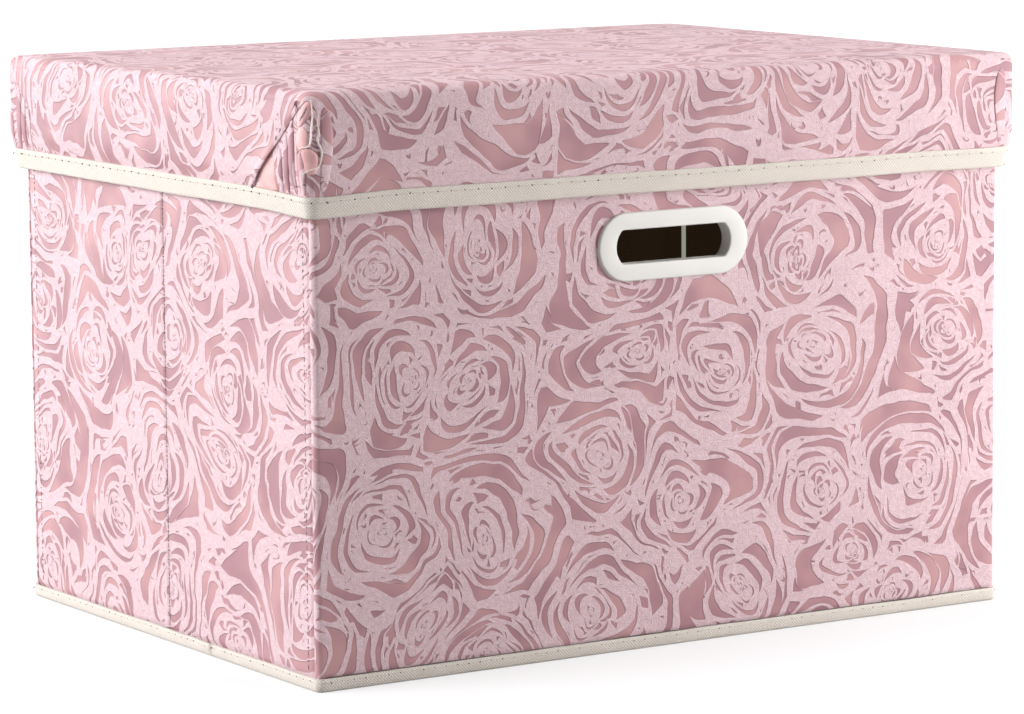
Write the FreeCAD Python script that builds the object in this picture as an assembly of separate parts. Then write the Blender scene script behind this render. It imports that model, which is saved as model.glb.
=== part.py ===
import FreeCAD, Part
import math
import os

from FreeCAD import Vector

# Fold-flat storage box with a lift-off lid.
# Card panels in cloth stand round a cloth floor. Each end wall is creased in the middle, so the
# front wall can travel back against the back wall once the lid is off.
# Origin: middle of the footprint, on the floor. X runs along the long front wall, Y runs from the
# front to the back, Z is up. All sizes are in millimetres.

# Overall size of the box
box_width = 450.0
box_depth = 330.0
overall_height = 316.0

# Cloth, card and tape
cover_cloth = 1.0
lining_cloth = 0.8
wall_board = 2.5
tape_cloth = 0.8
wall_corner_radius = 3.0

# Clearances between pieces that move past each other
fold_gap = 0.3
pass_gap = 0.4

# Bottom edge and floor
base_tape_height = 7.0
base_tape_lap = 9.0
base_cloth_thickness = 0.8
board_lift = 1.0
seam_gap = 0.2
insert_board_thickness = 2.4
insert_sleeve = 0.4
insert_margin = 1.5

# Rim of the walls
rim_binding_height = 11.0

# Lid
lid_height = 65.0
lid_top_board_thickness = 2.5
lid_skirt_board_thickness = 2.0
lid_side_clearance = 3.8
lid_edge_radius = 6.0
lid_corner_radius = 6.5
lid_inner_corner_radius = 3.0
hem_tape_height = 11.5
hem_tape_cloth = 0.6
hem_clearance = 1.4
hem_soft_height = 9.0

# Moulded grip: a frame outside the wall, snapped into a ring inside it
grip_below_lid = 10.25
grip_length = 98.0
grip_height = 37.5
grip_flange = 2.4
grip_flange_round = 1.1
flange_round_steps = 3
slot_length = 75.0
slot_height = 18.6
slot_end_radius = 12.7
slot_corner_radius = 2.5
slot_mouth_chamfer = 0.7
tunnel_wall = 1.8
ring_border_step = 2.0
ring_thickness = 2.4
ring_web = 1.0
ring_chamfer = 0.8
ring_clearance = 0.2
barb_length = 9.0
barb_offset = 18.0
barb_lip = 0.7
barb_pocket_clearance = 0.3
cutout_clearance = 0.6

# Wall build-up and heights worked out from the sizes above
half_width = box_width / 2
half_depth = box_depth / 2
wall_thickness = cover_cloth + wall_board + lining_cloth
board_inner = cover_cloth + wall_board
floor_cloth_top = tape_cloth + base_cloth_thickness
insert_top = floor_cloth_top + 2 * insert_sleeve + insert_board_thickness
wall_bottom = insert_top + pass_gap
board_bottom = base_tape_height + board_lift
lid_inner_top = overall_height - cover_cloth - lid_top_board_thickness - lining_cloth
rim_top = lid_inner_top - pass_gap
binding_bottom = rim_top - rim_binding_height
board_top = rim_top - tape_cloth

# Lid layers, as overhangs past the box wall
lining_inner_side = lid_side_clearance
lining_outer_side = lining_inner_side + lining_cloth
cover_inner_side = lining_outer_side + lid_skirt_board_thickness
cover_outer_side = cover_inner_side + cover_cloth
lining_inner_hem = hem_clearance + hem_tape_cloth
lining_outer_hem = lining_inner_hem + lining_cloth
cover_outer_hem = lining_outer_hem + cover_cloth
lid_bottom = overall_height - lid_height
hem_cloth_bottom = lid_bottom + hem_tape_cloth
hem_tape_top = lid_bottom + hem_tape_height
skirt_board_bottom = hem_tape_top + hem_soft_height

# The grip sits a set distance below the lid's lower edge
grip_centre_height = lid_bottom - grip_below_lid - grip_height / 2

pieces = {}


def block(x_low, x_high, y_low, y_high, z_low, z_high):
    """Box between two corners."""
    size = (x_high - x_low, y_high - y_low, z_high - z_low)
    return Part.makeBox(*size, Vector(x_low, y_low, z_low))


def rounded_rectangle(half_x, half_y, radius, z):
    """Closed wire at height z, centred on the Z axis, with quarter arcs at its corners."""
    corners = []
    for sign_x, sign_y in ((1, 1), (-1, 1), (-1, -1), (1, -1)):
        centre = Vector(sign_x * (half_x - radius), sign_y * (half_y - radius), z)
        corners.append((centre, sign_x, sign_y))
    diagonal = radius / math.sqrt(2)
    edges = []
    previous_end = None
    first_start = None
    for index, (centre, sign_x, sign_y) in enumerate(corners):
        side_point = centre + Vector(sign_x * radius, 0, 0)
        end_point = centre + Vector(0, sign_y * radius, 0)
        middle = centre + Vector(sign_x * diagonal, sign_y * diagonal, 0)
        start, end = (side_point, end_point) if index % 2 == 0 else (end_point, side_point)
        if previous_end is None:
            first_start = start
        else:
            edges.append(Part.LineSegment(previous_end, start).toShape())
        edges.append(Part.Arc(start, middle, end).toShape())
        previous_end = end
    edges.append(Part.LineSegment(previous_end, first_start).toShape())
    return Part.Wire(edges)


def footprint_prism(overhang, z_low, z_high, radius):
    """Upright prism over the box's footprint, grown by an overhang on every side."""
    outline = rounded_rectangle(half_width + overhang, half_depth + overhang, radius, z_low)
    return Part.Face(outline).extrude(Vector(0, 0, z_high - z_low))


def four_lengths(ring, depth):
    """A tape that goes round the box, as one straight length along each side, mitred at corners."""
    box = ring.BoundBox
    reach_x = box.XMax + depth
    reach_y = box.YMax + depth
    inner_x = reach_x - 2 * depth - wall_corner_radius
    inner_y = reach_y - 2 * depth - wall_corner_radius
    lengths = []
    for sign in (-1, 1):
        along_x = [(-reach_x, reach_y), (reach_x, reach_y), (inner_x, inner_y), (-inner_x, inner_y)]
        along_y = [(reach_x, -reach_y), (reach_x, reach_y), (inner_x, inner_y), (inner_x, -inner_y)]
        for corners in (along_x, along_y):
            points = [Vector(sign * x, sign * y, box.ZMin) for x, y in corners + corners[:1]]
            sector = Part.Face(Part.makePolygon(points)).extrude(Vector(0, 0, box.ZLength))
            lengths.extend(ring.common(sector).Solids)
    return Part.makeCompound(lengths)


def mirrored_to_back(shape):
    """The same piece on the other long side."""
    return shape.mirror(Vector(0, 0, 0), Vector(0, 1, 0))


def mirrored_to_right(shape):
    """The same piece at the other end."""
    return shape.mirror(Vector(0, 0, 0), Vector(1, 0, 0))


# Front and back walls

def long_wall_prism(inset, v_low, v_high, z_low, z_high, radius):
    """Slab in the front wall: inset from the wall's ends, at depths v from its outer face.

    The two upright edges towards the outside are rounded.
    """
    x_end = half_width - inset
    slab = block(-x_end, x_end, -half_depth + v_low, -half_depth + v_high, z_low, z_high)
    outer_edges = []
    for edge in slab.Edges:
        ends = [vertex.Point for vertex in edge.Vertexes]
        upright = abs(ends[0].z - ends[1].z) > 1e-6
        if upright and abs(ends[0].y - (-half_depth + v_low)) < 1e-6:
            outer_edges.append(edge)
    return slab.makeFillet(radius, outer_edges)


def oval_wire(length, height, end_radius, y):
    """Closed wire across Y at the grip: flat above and below, with an arc at each end."""
    half_height = height / 2
    half_length = length / 2
    arc_rise = math.sqrt(max(0.0, end_radius ** 2 - half_height ** 2))
    half_flat = half_length - end_radius + arc_rise
    top = grip_centre_height + half_height
    bottom = grip_centre_height - half_height
    corner_points = {}
    for sign in (-1, 1):
        corner_points[sign, "top"] = Vector(sign * half_flat, y, top)
        corner_points[sign, "bottom"] = Vector(sign * half_flat, y, bottom)
    right_end = Vector(half_length, y, grip_centre_height)
    left_end = Vector(-half_length, y, grip_centre_height)
    edges = [
        Part.LineSegment(corner_points[-1, "top"], corner_points[1, "top"]).toShape(),
        Part.Arc(corner_points[1, "top"], right_end, corner_points[1, "bottom"]).toShape(),
        Part.LineSegment(corner_points[1, "bottom"], corner_points[-1, "bottom"]).toShape(),
        Part.Arc(corner_points[-1, "bottom"], left_end, corner_points[-1, "top"]).toShape(),
    ]
    return Part.Wire(edges)


def oval_prism(length, height, end_radius, corner_radius, y_low, y_high):
    """Prism through the front wall over an oval outline, with its corners rounded."""
    outline = oval_wire(length, height, end_radius, y_low)
    prism = Part.Face(outline).extrude(Vector(0, y_high - y_low, 0))
    if corner_radius == 0:
        return prism
    through_edges = []
    for edge in prism.Edges:
        ends = [vertex.Point for vertex in edge.Vertexes]
        if len(ends) == 2 and abs(ends[0].y - ends[1].y) > 1e-6:
            through_edges.append(edge)
    return prism.makeFillet(corner_radius, through_edges)


def front_y(depth_into_wall):
    """Y of a plane that lies this deep behind the front wall's outer face."""
    return -half_depth + depth_into_wall


tunnel_length = slot_length + 2 * tunnel_wall
tunnel_height = slot_height + 2 * tunnel_wall
tunnel_end_radius = slot_end_radius + tunnel_wall
cutout_length = tunnel_length + 2 * cutout_clearance
cutout_height = tunnel_height + 2 * cutout_clearance
grip_inner_end = wall_thickness + ring_thickness


def front_wall_pieces():
    """Cover, card, lining and rim binding of the front wall, open at the grip."""
    cutout = oval_prism(cutout_length, cutout_height, tunnel_end_radius + cutout_clearance, 0,
                        front_y(-grip_flange), front_y(grip_inner_end))
    board_radius = wall_corner_radius - cover_cloth
    board = long_wall_prism(cover_cloth, cover_cloth, board_inner, board_bottom, board_top,
                            board_radius)
    pocket = long_wall_prism(cover_cloth, cover_cloth, board_inner, wall_bottom, board_top,
                             board_radius)
    cover = long_wall_prism(0, 0, board_inner, wall_bottom, binding_bottom, wall_corner_radius)
    lining = block(-half_width, half_width, front_y(board_inner), front_y(wall_thickness),
                   wall_bottom, binding_bottom)
    binding = long_wall_prism(0, 0, wall_thickness, binding_bottom, rim_top, wall_corner_radius)
    return {
        "board": board.cut(cutout),
        "cover": cover.cut(pocket).cut(cutout),
        "lining": lining.cut(cutout),
        "rim_binding": binding.cut(pocket),
    }


def edges_in_plane(shape, y):
    """Edges of a shape that lie flat in one plane across Y."""
    found = []
    for edge in shape.Edges:
        box = edge.BoundBox
        if abs(box.YMin - y) < 1e-5 and abs(box.YMax - y) < 1e-5:
            found.append(edge)
    return found


def grip_barbs(lip, length, start_depth):
    """Four wedges on the tunnel's flat top and bottom, highest where they hook behind the ring."""
    barbs = []
    for sign_x in (-1, 1):
        for sign_z in (-1, 1):
            root_z = grip_centre_height + sign_z * tunnel_height / 2
            x_low = sign_x * barb_offset - length / 2
            profile = Part.makePolygon([
                Vector(x_low, front_y(start_depth), root_z),
                Vector(x_low, front_y(start_depth), root_z + sign_z * lip),
                Vector(x_low, front_y(grip_inner_end), root_z),
                Vector(x_low, front_y(start_depth), root_z),
            ])
            barbs.append(Part.Face(profile).extrude(Vector(length, 0, 0)))
    return barbs


def grip_flange_plate():
    """Oval plate on the wall, with its outer edge rounded in a few steps."""
    outlines = [oval_wire(grip_length, grip_height, grip_height / 2, front_y(0))]
    for step in range(flange_round_steps + 1):
        angle = math.pi / 2 * step / flange_round_steps
        shrink = grip_flange_round * (1 - math.cos(angle))
        depth = -grip_flange + grip_flange_round * (1 - math.sin(angle))
        outlines.append(oval_wire(grip_length - 2 * shrink, grip_height - 2 * shrink,
                                  grip_height / 2 - shrink, front_y(depth)))
    return Part.makeLoft(outlines, True, True)


def grip_frame():
    """Outer half of the grip: a flange with rounded edges, a tunnel and its snap barbs."""
    face_y = front_y(-grip_flange)
    flange = grip_flange_plate()
    tunnel = oval_prism(tunnel_length, tunnel_height, tunnel_end_radius,
                        slot_corner_radius + tunnel_wall, front_y(0), front_y(grip_inner_end))
    barbs = grip_barbs(barb_lip, barb_length, wall_thickness + ring_web)
    frame = flange.fuse(tunnel).fuse(barbs)
    slot = oval_prism(slot_length, slot_height, slot_end_radius, slot_corner_radius,
                      face_y, front_y(grip_inner_end))
    frame = frame.cut(slot)
    mouth_edges = []
    for edge in edges_in_plane(frame, face_y):
        if abs(edge.CenterOfMass.z - grip_centre_height) < slot_height / 2 + 1e-3:
            if edge.BoundBox.XMax < slot_length / 2 + 1e-3 and edge.BoundBox.XMin > -slot_length / 2 - 1e-3:
                mouth_edges.append(edge)
    return frame.makeChamfer(slot_mouth_chamfer, mouth_edges).removeSplitter()


def grip_ring():
    """Inner half of the grip: the tunnel passes through it and the barbs hook behind its web."""
    length = grip_length - 2 * ring_border_step
    height = grip_height - 2 * ring_border_step
    face_y = front_y(grip_inner_end)
    ring = oval_prism(length, height, height / 2, 0, front_y(wall_thickness), face_y)
    ring = ring.makeChamfer(ring_chamfer, edges_in_plane(ring, face_y))
    bore = oval_prism(tunnel_length + 2 * ring_clearance, tunnel_height + 2 * ring_clearance,
                      tunnel_end_radius + ring_clearance,
                      slot_corner_radius + tunnel_wall + ring_clearance,
                      front_y(wall_thickness), face_y)
    ring = ring.cut(bore)
    pocket_depth = barb_lip + barb_pocket_clearance
    pocket_half = barb_length / 2 + barb_pocket_clearance
    for sign_x in (-1, 1):
        centre_x = sign_x * barb_offset
        pocket = block(centre_x - pocket_half, centre_x + pocket_half,
                       front_y(wall_thickness + ring_web), face_y,
                       grip_centre_height - tunnel_height / 2 - pocket_depth,
                       grip_centre_height + tunnel_height / 2 + pocket_depth)
        ring = ring.cut(pocket)
    return ring


for layer, shape in front_wall_pieces().items():
    pieces["front_" + layer] = shape
    pieces["back_" + layer] = mirrored_to_back(shape)
for layer, shape in (("handle_frame", grip_frame()), ("handle_ring", grip_ring())):
    pieces["front_" + layer] = shape
    pieces["back_" + layer] = mirrored_to_back(shape)


# End walls, each creased at mid depth into two half panels

def half_panel_pieces():
    """Pieces of the left end wall's rear half.

    The crease pivots on the outer face at mid depth, and the rear corner on the inner face, so
    the panel stops a small gap short of both fold lines.
    """
    y_crease = fold_gap
    y_corner = half_depth - wall_thickness - fold_gap

    def slab(v_low, v_high, inset, z_low, z_high):
        return block(-half_width + v_low, -half_width + v_high,
                     y_crease + inset, y_corner - inset, z_low, z_high)

    board = slab(cover_cloth, board_inner, cover_cloth, board_bottom, board_top)
    pocket = slab(cover_cloth, board_inner, cover_cloth, wall_bottom, board_top)
    cover = slab(0, board_inner, 0, wall_bottom, binding_bottom)
    lining = slab(board_inner, wall_thickness, 0, wall_bottom, binding_bottom)
    binding = slab(0, wall_thickness, 0, binding_bottom, rim_top)
    return {
        "board": board,
        "cover": cover.cut(pocket),
        "lining": lining,
        "rim_binding": binding.cut(pocket),
    }


for layer, shape in half_panel_pieces().items():
    pieces["left_rear_" + layer] = shape
    pieces["left_front_" + layer] = mirrored_to_back(shape)
    pieces["right_rear_" + layer] = mirrored_to_right(shape)
    pieces["right_front_" + layer] = mirrored_to_back(mirrored_to_right(shape))


# Floor: cloth tray, tape round the bottom edge, and the loose stiff board in its sleeve

def base_cloth_tray():
    """Flat floor cloth with its seam allowance turned up behind the tape."""
    top = wall_bottom - seam_gap
    tray = footprint_prism(0, tape_cloth, top, wall_corner_radius)
    hollow = footprint_prism(-base_cloth_thickness, floor_cloth_top, top,
                             wall_corner_radius - base_cloth_thickness)
    return tray.cut(hollow)


def base_edge_tape():
    """Tape folded round the bottom edge: one half on the wall, one half under the floor.

    One length runs along each side and meets its neighbours in a mitre.
    """
    outside = footprint_prism(tape_cloth, 0, base_tape_height, wall_corner_radius + tape_cloth)
    wall_side = footprint_prism(0, tape_cloth, base_tape_height, wall_corner_radius)
    floor_side = footprint_prism(-base_tape_lap, 0, tape_cloth, wall_corner_radius)
    return four_lengths(outside.cut(wall_side).cut(floor_side), base_tape_lap + tape_cloth)


def insert_slab(shrink, z_low, z_high, open_end):
    """Slab for the loose floor board, or its sleeve's pocket, open at the right end."""
    x_end = half_width - wall_thickness - insert_margin
    y_end = half_depth - wall_thickness - insert_margin - shrink
    x_high = x_end if open_end else x_end - shrink
    return block(-x_end + shrink, x_high, -y_end, y_end, z_low, z_high)


insert_board_low = floor_cloth_top + insert_sleeve
insert_board_high = insert_board_low + insert_board_thickness
pieces["base_cloth"] = base_cloth_tray()
pieces["base_tape"] = base_edge_tape()
pieces["base_insert_board"] = insert_slab(insert_sleeve, insert_board_low, insert_board_high, False)
sleeve_pocket = insert_slab(insert_sleeve, insert_board_low, insert_board_high, True)
sleeve_outside = insert_slab(0, floor_cloth_top, insert_top, False)
pieces["base_insert_cover"] = sleeve_outside.cut(sleeve_pocket)


# Lid: cloth over five boards, a lining, and a tape round the hem

def layer_radius(overhang):
    """Plan corner radius of a lid layer, larger on the outer layers."""
    growth = (lid_corner_radius - lid_inner_corner_radius) / (cover_outer_side - hem_clearance)
    return lid_inner_corner_radius + growth * (overhang - hem_clearance)


def hem_overhang(side, hem, z):
    """Overhang of a layer on the tapering hem, where it runs from its side to its hem value."""
    share = (z - hem_cloth_bottom) / (skirt_board_bottom - hem_cloth_bottom)
    return hem + (side - hem) * share


def hem_loft(side, hem, z_low, z_high):
    """Solid inside one layer's surface on the tapering hem."""
    outlines = []
    for z in (z_low, z_high):
        overhang = hem_overhang(side, hem, z)
        outlines.append(rounded_rectangle(half_width + overhang, half_depth + overhang,
                                          layer_radius(overhang), z))
    return Part.makeLoft(outlines, True, True)


def lid_form(side, hem, top, edge_radius):
    """Everything inside one layer of the lid, with the top edge rounded."""
    upper = footprint_prism(side, skirt_board_bottom, top, layer_radius(side))
    if edge_radius > 0:
        top_edges = []
        for edge in upper.Edges:
            if edge.BoundBox.ZMin > top - 1e-5:
                top_edges.append(edge)
        upper = upper.makeFillet(edge_radius, top_edges)
    return upper.fuse(hem_loft(side, hem, hem_cloth_bottom, skirt_board_bottom))


def lid_hem_tape():
    """Tape folded round the lid's lower edge, following the taper on both sides.

    One length runs along each side and meets its neighbours in a mitre.
    """
    outside = hem_loft(cover_outer_side + hem_tape_cloth, cover_outer_hem + hem_tape_cloth,
                       lid_bottom, hem_tape_top)
    inside = hem_loft(lining_inner_side - hem_tape_cloth, lining_inner_hem - hem_tape_cloth,
                      lid_bottom, hem_tape_top)
    cloth_outside = hem_loft(cover_outer_side, cover_outer_hem, hem_cloth_bottom, hem_tape_top)
    cloth_inside = hem_loft(lining_inner_side, lining_inner_hem, hem_cloth_bottom, hem_tape_top)
    hem_depth = cover_outer_side + hem_tape_cloth
    return four_lengths(outside.cut(inside).cut(cloth_outside.cut(cloth_inside)), hem_depth)


cover_inner_top = overall_height - cover_cloth
lining_outer_top = cover_inner_top - lid_top_board_thickness
inner_edge_radius = lid_edge_radius - cover_cloth
skirt_board_top = cover_inner_top - inner_edge_radius
board_corner_setback = layer_radius(cover_inner_side)

cover_inside = lid_form(cover_inner_side, lining_outer_hem, cover_inner_top, inner_edge_radius)
cover_outside = lid_form(cover_outer_side, cover_outer_hem, overall_height, lid_edge_radius)
lining_outside = lid_form(lining_outer_side, lining_outer_hem, lining_outer_top, 0)
lining_inside = lid_form(lining_inner_side, lining_inner_hem, lid_inner_top, 0)
pieces["lid_cover"] = cover_outside.cut(cover_inside)
pieces["lid_lining"] = lining_outside.cut(lining_inside)
pieces["lid_tape"] = lid_hem_tape()
pieces["lid_top_board"] = footprint_prism(
    cover_inner_side - inner_edge_radius, lining_outer_top, cover_inner_top,
    board_corner_setback - inner_edge_radius)

long_end = half_width + cover_inner_side - board_corner_setback
short_end = half_depth + cover_inner_side - board_corner_setback
front_skirt_board = block(-long_end, long_end,
                          -half_depth - cover_inner_side, -half_depth - lining_outer_side,
                          skirt_board_bottom, skirt_board_top)
left_skirt_board = block(-half_width - cover_inner_side, -half_width - lining_outer_side,
                         -short_end, short_end, skirt_board_bottom, skirt_board_top)
pieces["lid_front_board"] = front_skirt_board
pieces["lid_back_board"] = mirrored_to_back(front_skirt_board)
pieces["lid_left_board"] = left_skirt_board
pieces["lid_right_board"] = mirrored_to_right(left_skirt_board)

# Write every piece as its own file
os.makedirs("parts", exist_ok=True)
for name in sorted(pieces):
    shape = pieces[name]
    shape.exportStep("parts/" + name + ".step")
    bounds = shape.BoundBox
    print("%-24s solids %d  valid %s  volume %9.0f  z %6.1f to %6.1f" % (
        name, len(shape.Solids), shape.isValid(), shape.Volume, bounds.ZMin, bounds.ZMax))
print(len(pieces), "pieces")
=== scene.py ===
# %% [markdown]
# A fold-flat storage box, dressed for the picture. The imported model gives the card boards, the
# joints and the places. This script adds what makes the box look real: embossed rose cloth, woven
# tape, moulded grips, seams and stitches. Every piece is built in metres in the frame of the
# imported model. Most ride on one of its bodies, so that they move with it when the lid lifts or
# the box folds; the end wall cloths and their linings ride on none.

# %% Load the frame
import math

import bmesh
import bpy
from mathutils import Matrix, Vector, noise


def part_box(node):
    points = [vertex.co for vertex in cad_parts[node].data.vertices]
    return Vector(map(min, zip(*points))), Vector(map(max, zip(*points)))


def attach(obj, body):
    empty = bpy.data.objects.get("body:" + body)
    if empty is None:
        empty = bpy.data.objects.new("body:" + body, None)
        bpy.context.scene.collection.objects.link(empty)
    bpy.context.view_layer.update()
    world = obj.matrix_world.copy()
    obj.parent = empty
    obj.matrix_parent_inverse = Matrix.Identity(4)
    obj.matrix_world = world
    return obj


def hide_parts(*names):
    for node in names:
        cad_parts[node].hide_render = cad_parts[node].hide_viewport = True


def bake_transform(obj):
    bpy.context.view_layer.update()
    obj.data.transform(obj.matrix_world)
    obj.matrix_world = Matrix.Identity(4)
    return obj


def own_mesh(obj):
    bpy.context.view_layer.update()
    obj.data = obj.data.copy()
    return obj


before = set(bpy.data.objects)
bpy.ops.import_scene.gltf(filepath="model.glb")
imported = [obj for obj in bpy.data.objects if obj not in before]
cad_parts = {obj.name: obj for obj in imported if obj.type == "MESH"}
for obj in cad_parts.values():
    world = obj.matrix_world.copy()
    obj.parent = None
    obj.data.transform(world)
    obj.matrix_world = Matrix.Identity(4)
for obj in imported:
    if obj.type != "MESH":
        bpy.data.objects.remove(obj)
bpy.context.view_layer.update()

MM = 0.001

# %% [markdown]
# On the real box the cloth is cut to meet the card. The sizes could be typed in here, but then
# they would be left behind when the model changes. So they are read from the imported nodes, and a
# wall cloth ends where its wall ends. Only what the frame can't say, such as how far a cloth
# puffs out, is a value of this script.

# %% Sizes from the frame
wall_low, wall_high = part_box("front_cover")
lining_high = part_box("front_lining")[1]
rim_low, rim_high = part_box("front_rim_binding")
half_panel_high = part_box("left_rear_cover")[1]
lid_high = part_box("lid_cover")[1]
lid_lining_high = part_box("lid_lining")[1]
hem_low, hem_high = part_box("lid_tape")
base_tape_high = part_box("base_tape")[1]
sleeve_low, sleeve_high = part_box("base_insert_cover")
grip_low, grip_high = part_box("front_handle_frame")

half_width = wall_high.x
half_depth = -wall_low.y
wall_inner_y = -lining_high.y
wall_thickness = half_depth - wall_inner_y
wall_corner_radius = 3.0 * MM
wall_bottom = wall_low.z
wall_cloth_top = wall_high.z
end_reach = half_panel_high.y
lid_top = lid_high.z
lid_side = lid_high.x - half_width
hem_bottom = hem_low.z
hem_top = hem_high.z
grip_height = grip_high.z - grip_low.z
grip_length = grip_high.x - grip_low.x
grip_centre_z = (grip_low.z + grip_high.z) / 2
print("box %.0f x %.0f mm, lid top at %.0f mm" % (2000 * half_width, 2000 * half_depth, 1000 * lid_top))

# %% [markdown]
# Cloth is a sheet with a small thickness. It could be a plane that a cloth simulation lets fall,
# or one that is modelled by hand. Here each sheet is a grid of points from a formula, because its
# edges have to end exactly at the seams and the same cloth has to come out at every run. Each
# grid gets its own flat cloth map in metres, so the printed roses keep their size on every piece
# and run on round an edge as on one cut of cloth. A Solidify modifier then gives the thickness.

# %% Helpers for meshes
CLOTH_MAP = "cloth_map"
MERGE = 0.02 * MM
TINY = 1e-9


def add_piece(name, mesh):
    """Puts a mesh into the scene as a piece."""
    piece = bpy.data.objects.new(name, mesh)
    bpy.context.scene.collection.objects.link(piece)
    return piece


def mesh_of(name, bm):
    """The finished mesh of a BMesh, which is freed."""
    mesh = bpy.data.meshes.new(name)
    bm.to_mesh(mesh)
    bm.free()
    return mesh


def close_up(bm, distance=MERGE):
    """Merges the points that meet and turns all faces outwards."""
    bmesh.ops.remove_doubles(bm, verts=bm.verts, dist=distance)
    bmesh.ops.recalc_face_normals(bm, faces=bm.faces)


def set_modifiers(piece):
    """Makes the piece's modifiers part of its mesh."""
    graph = bpy.context.evaluated_depsgraph_get()
    mesh = bpy.data.meshes.new_from_object(piece.evaluated_get(graph))
    piece.modifiers.clear()
    piece.data = mesh
    return piece


def thicken(piece, thickness):
    """Gives a sheet its cloth thickness, away from its outer side."""
    solid = piece.modifiers.new("cloth", "SOLIDIFY")
    solid.thickness = thickness
    solid.offset = -1
    return set_modifiers(piece)


print("mesh helpers ready")

# %% Helpers for sheets
def add_grid(bm, rows, closed=False):
    """Adds a grid of (place, (u, v)) rows to a mesh, with its cloth map."""
    layer = bm.loops.layers.uv.get(CLOTH_MAP) or bm.loops.layers.uv.new(CLOTH_MAP)
    verts = [[bm.verts.new(place) for place, _ in row] for row in rows]
    columns = len(rows[0])
    for i in range(len(rows) - 1):
        for j in range(columns if closed else columns - 1):
            k = (j + 1) % columns
            corners = ((i, j), (i, k), (i + 1, k), (i + 1, j))
            face = bm.faces.new([verts[a][b] for a, b in corners])
            face.smooth = True
            for loop, (a, b) in zip(face.loops, corners):
                loop[layer].uv = rows[a][b][1]


def sheet_piece(name, grids, thickness):
    """A cloth from one or more grids, thickened away from its outer side."""
    bm = bmesh.new()
    for rows in grids:
        add_grid(bm, rows)
    bmesh.ops.remove_doubles(bm, verts=bm.verts, dist=MERGE)
    return thicken(add_piece(name, mesh_of(name, bm)), thickness)


def stations(low, high, step, fine=(), fine_step=1.0 * MM, reach=12 * MM):
    """Places between low and high, a step apart, closer together near some given places."""
    places = [low]
    while places[-1] < high - TINY:
        here = places[-1]
        near = any(abs(here - spot) < reach for spot in fine)
        size = fine_step if near else step
        ahead = [spot - reach for spot in fine if here < spot - reach - TINY]
        places.append(min([here + size, high] + ahead))
    return places


def smooth(edge_low, edge_high, value):
    """0 below edge_low, 1 above edge_high, and a soft step between."""
    share = (value - edge_low) / (edge_high - edge_low)
    share = min(1.0, max(0.0, share))
    return share * share * (3 - 2 * share)


def wave(x, y, size, seed):
    """Gentle uneven height from -1 to 1, of bumps about one size across."""
    return noise.noise(Vector((x / size, y / size, seed)))


print("sheet helpers ready")

# %% [markdown]
# The front and back walls are one cloth each, pulled over the card and round the upright edges to
# the corner seam. A bevelled box would have the same outline, but it would reflect light like a
# board. So the cloth is a grid that puffs out a little over the card, is a little uneven, and is
# drawn in where the base tape holds it. That makes the dark line above the tape.

# %% Front and back wall cloth
COVER_CLOTH = 0.8 * MM
COVER_STEP = 6 * MM
WALL_PUFF = 0.35 * MM
PUFF_UNEVEN = 0.8
SIDE_HOLD = 25 * MM
TAPE_HOLD = 20 * MM
TAPE_PINCH = 0.85 * MM
TAPE_PINCH_RISE = 2.6 * MM
cover_heights = stations(wall_bottom, wall_cloth_top, COVER_STEP, fine=(wall_bottom,), reach=14 * MM)


def tape_pinch(z):
    """How far the base tape draws the cloth in at a height."""
    return TAPE_PINCH * (1 - smooth(base_tape_high.z, base_tape_high.z + TAPE_PINCH_RISE, z))


def wall_puff(along, z, inside, size, seed):
    """How far the cloth stands off the card. inside is 0 where it is held and 1 where it is free."""
    inside *= smooth(0, TAPE_HOLD, z - base_tape_high.z)
    return WALL_PUFF * inside * (1 + PUFF_UNEVEN * wave(along, z, size, seed))


def corner_path(half_x, y_face, radius, y_end, segments=6):
    """Plan points (x, y) of a wall cloth's left end: from its seam round the upright edge."""
    points = [(-half_x, y_end)]
    for index in range(segments + 1):
        angle = math.pi / 2 * index / segments
        points.append((-half_x + radius * (1 - math.cos(angle)),
                       y_face + radius * (1 - math.sin(angle))))
    return points


def wall_cloth(name, sign, seed):
    """Cloth of the front wall (sign -1) or the back wall (sign 1)."""
    turn = corner_path(half_width, -half_depth, wall_corner_radius, -wall_inner_y)
    edge_x = turn[-1][0]
    middle = [(x, -half_depth) for x in
              stations(edge_x, -edge_x, COVER_STEP, fine=(edge_x, -edge_x), fine_step=2 * MM)[1:-1]]
    plan = turn + middle + [(-x, y) for x, y in reversed(turn)]
    along = [0.0]
    for (x0, y0), (x1, y1) in zip(plan, plan[1:]):
        along.append(along[-1] + math.hypot(x1 - x0, y1 - y0))
    start = -along[-1] / 2
    rows = []
    for z in cover_heights:
        row = []
        for (x, y), length in zip(plan, along):
            puff = wall_puff(x, z, smooth(0, SIDE_HOLD, half_width - abs(x)), 90 * MM, seed)
            face_share = smooth(0, wall_corner_radius, half_width - abs(x))
            place = Vector((x, y - puff + tape_pinch(z) * face_share, z))
            place.y *= -sign
            row.append((place, ((start + length) * -sign, z)))
        rows.append(row if sign < 0 else row[::-1])
    return sheet_piece(name, [rows], COVER_CLOTH)


front_cloth = wall_cloth("front_cloth", -1, 3.1)
back_cloth = wall_cloth("back_cloth", 1, 8.4)
print("front cloth:", len(front_cloth.data.polygons), "faces")

# %% [markdown]
# Both wall cloths are cut open behind the grip. The hole could be left out of the grid, but its
# round ends would need points of their own. A Boolean modifier with an oval cutter is shorter,
# and the flange hides its uneven edge. The oval is flat above and below with an arc at each end,
# as the grip is.

# %% Grip cut-out
SLOT_LENGTH = 75.0 * MM
SLOT_HEIGHT = 18.6 * MM
SLOT_END_RADIUS = 12.7 * MM
TUNNEL_WALL = 1.8 * MM
CUT_CLEARANCE = 0.6 * MM


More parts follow.
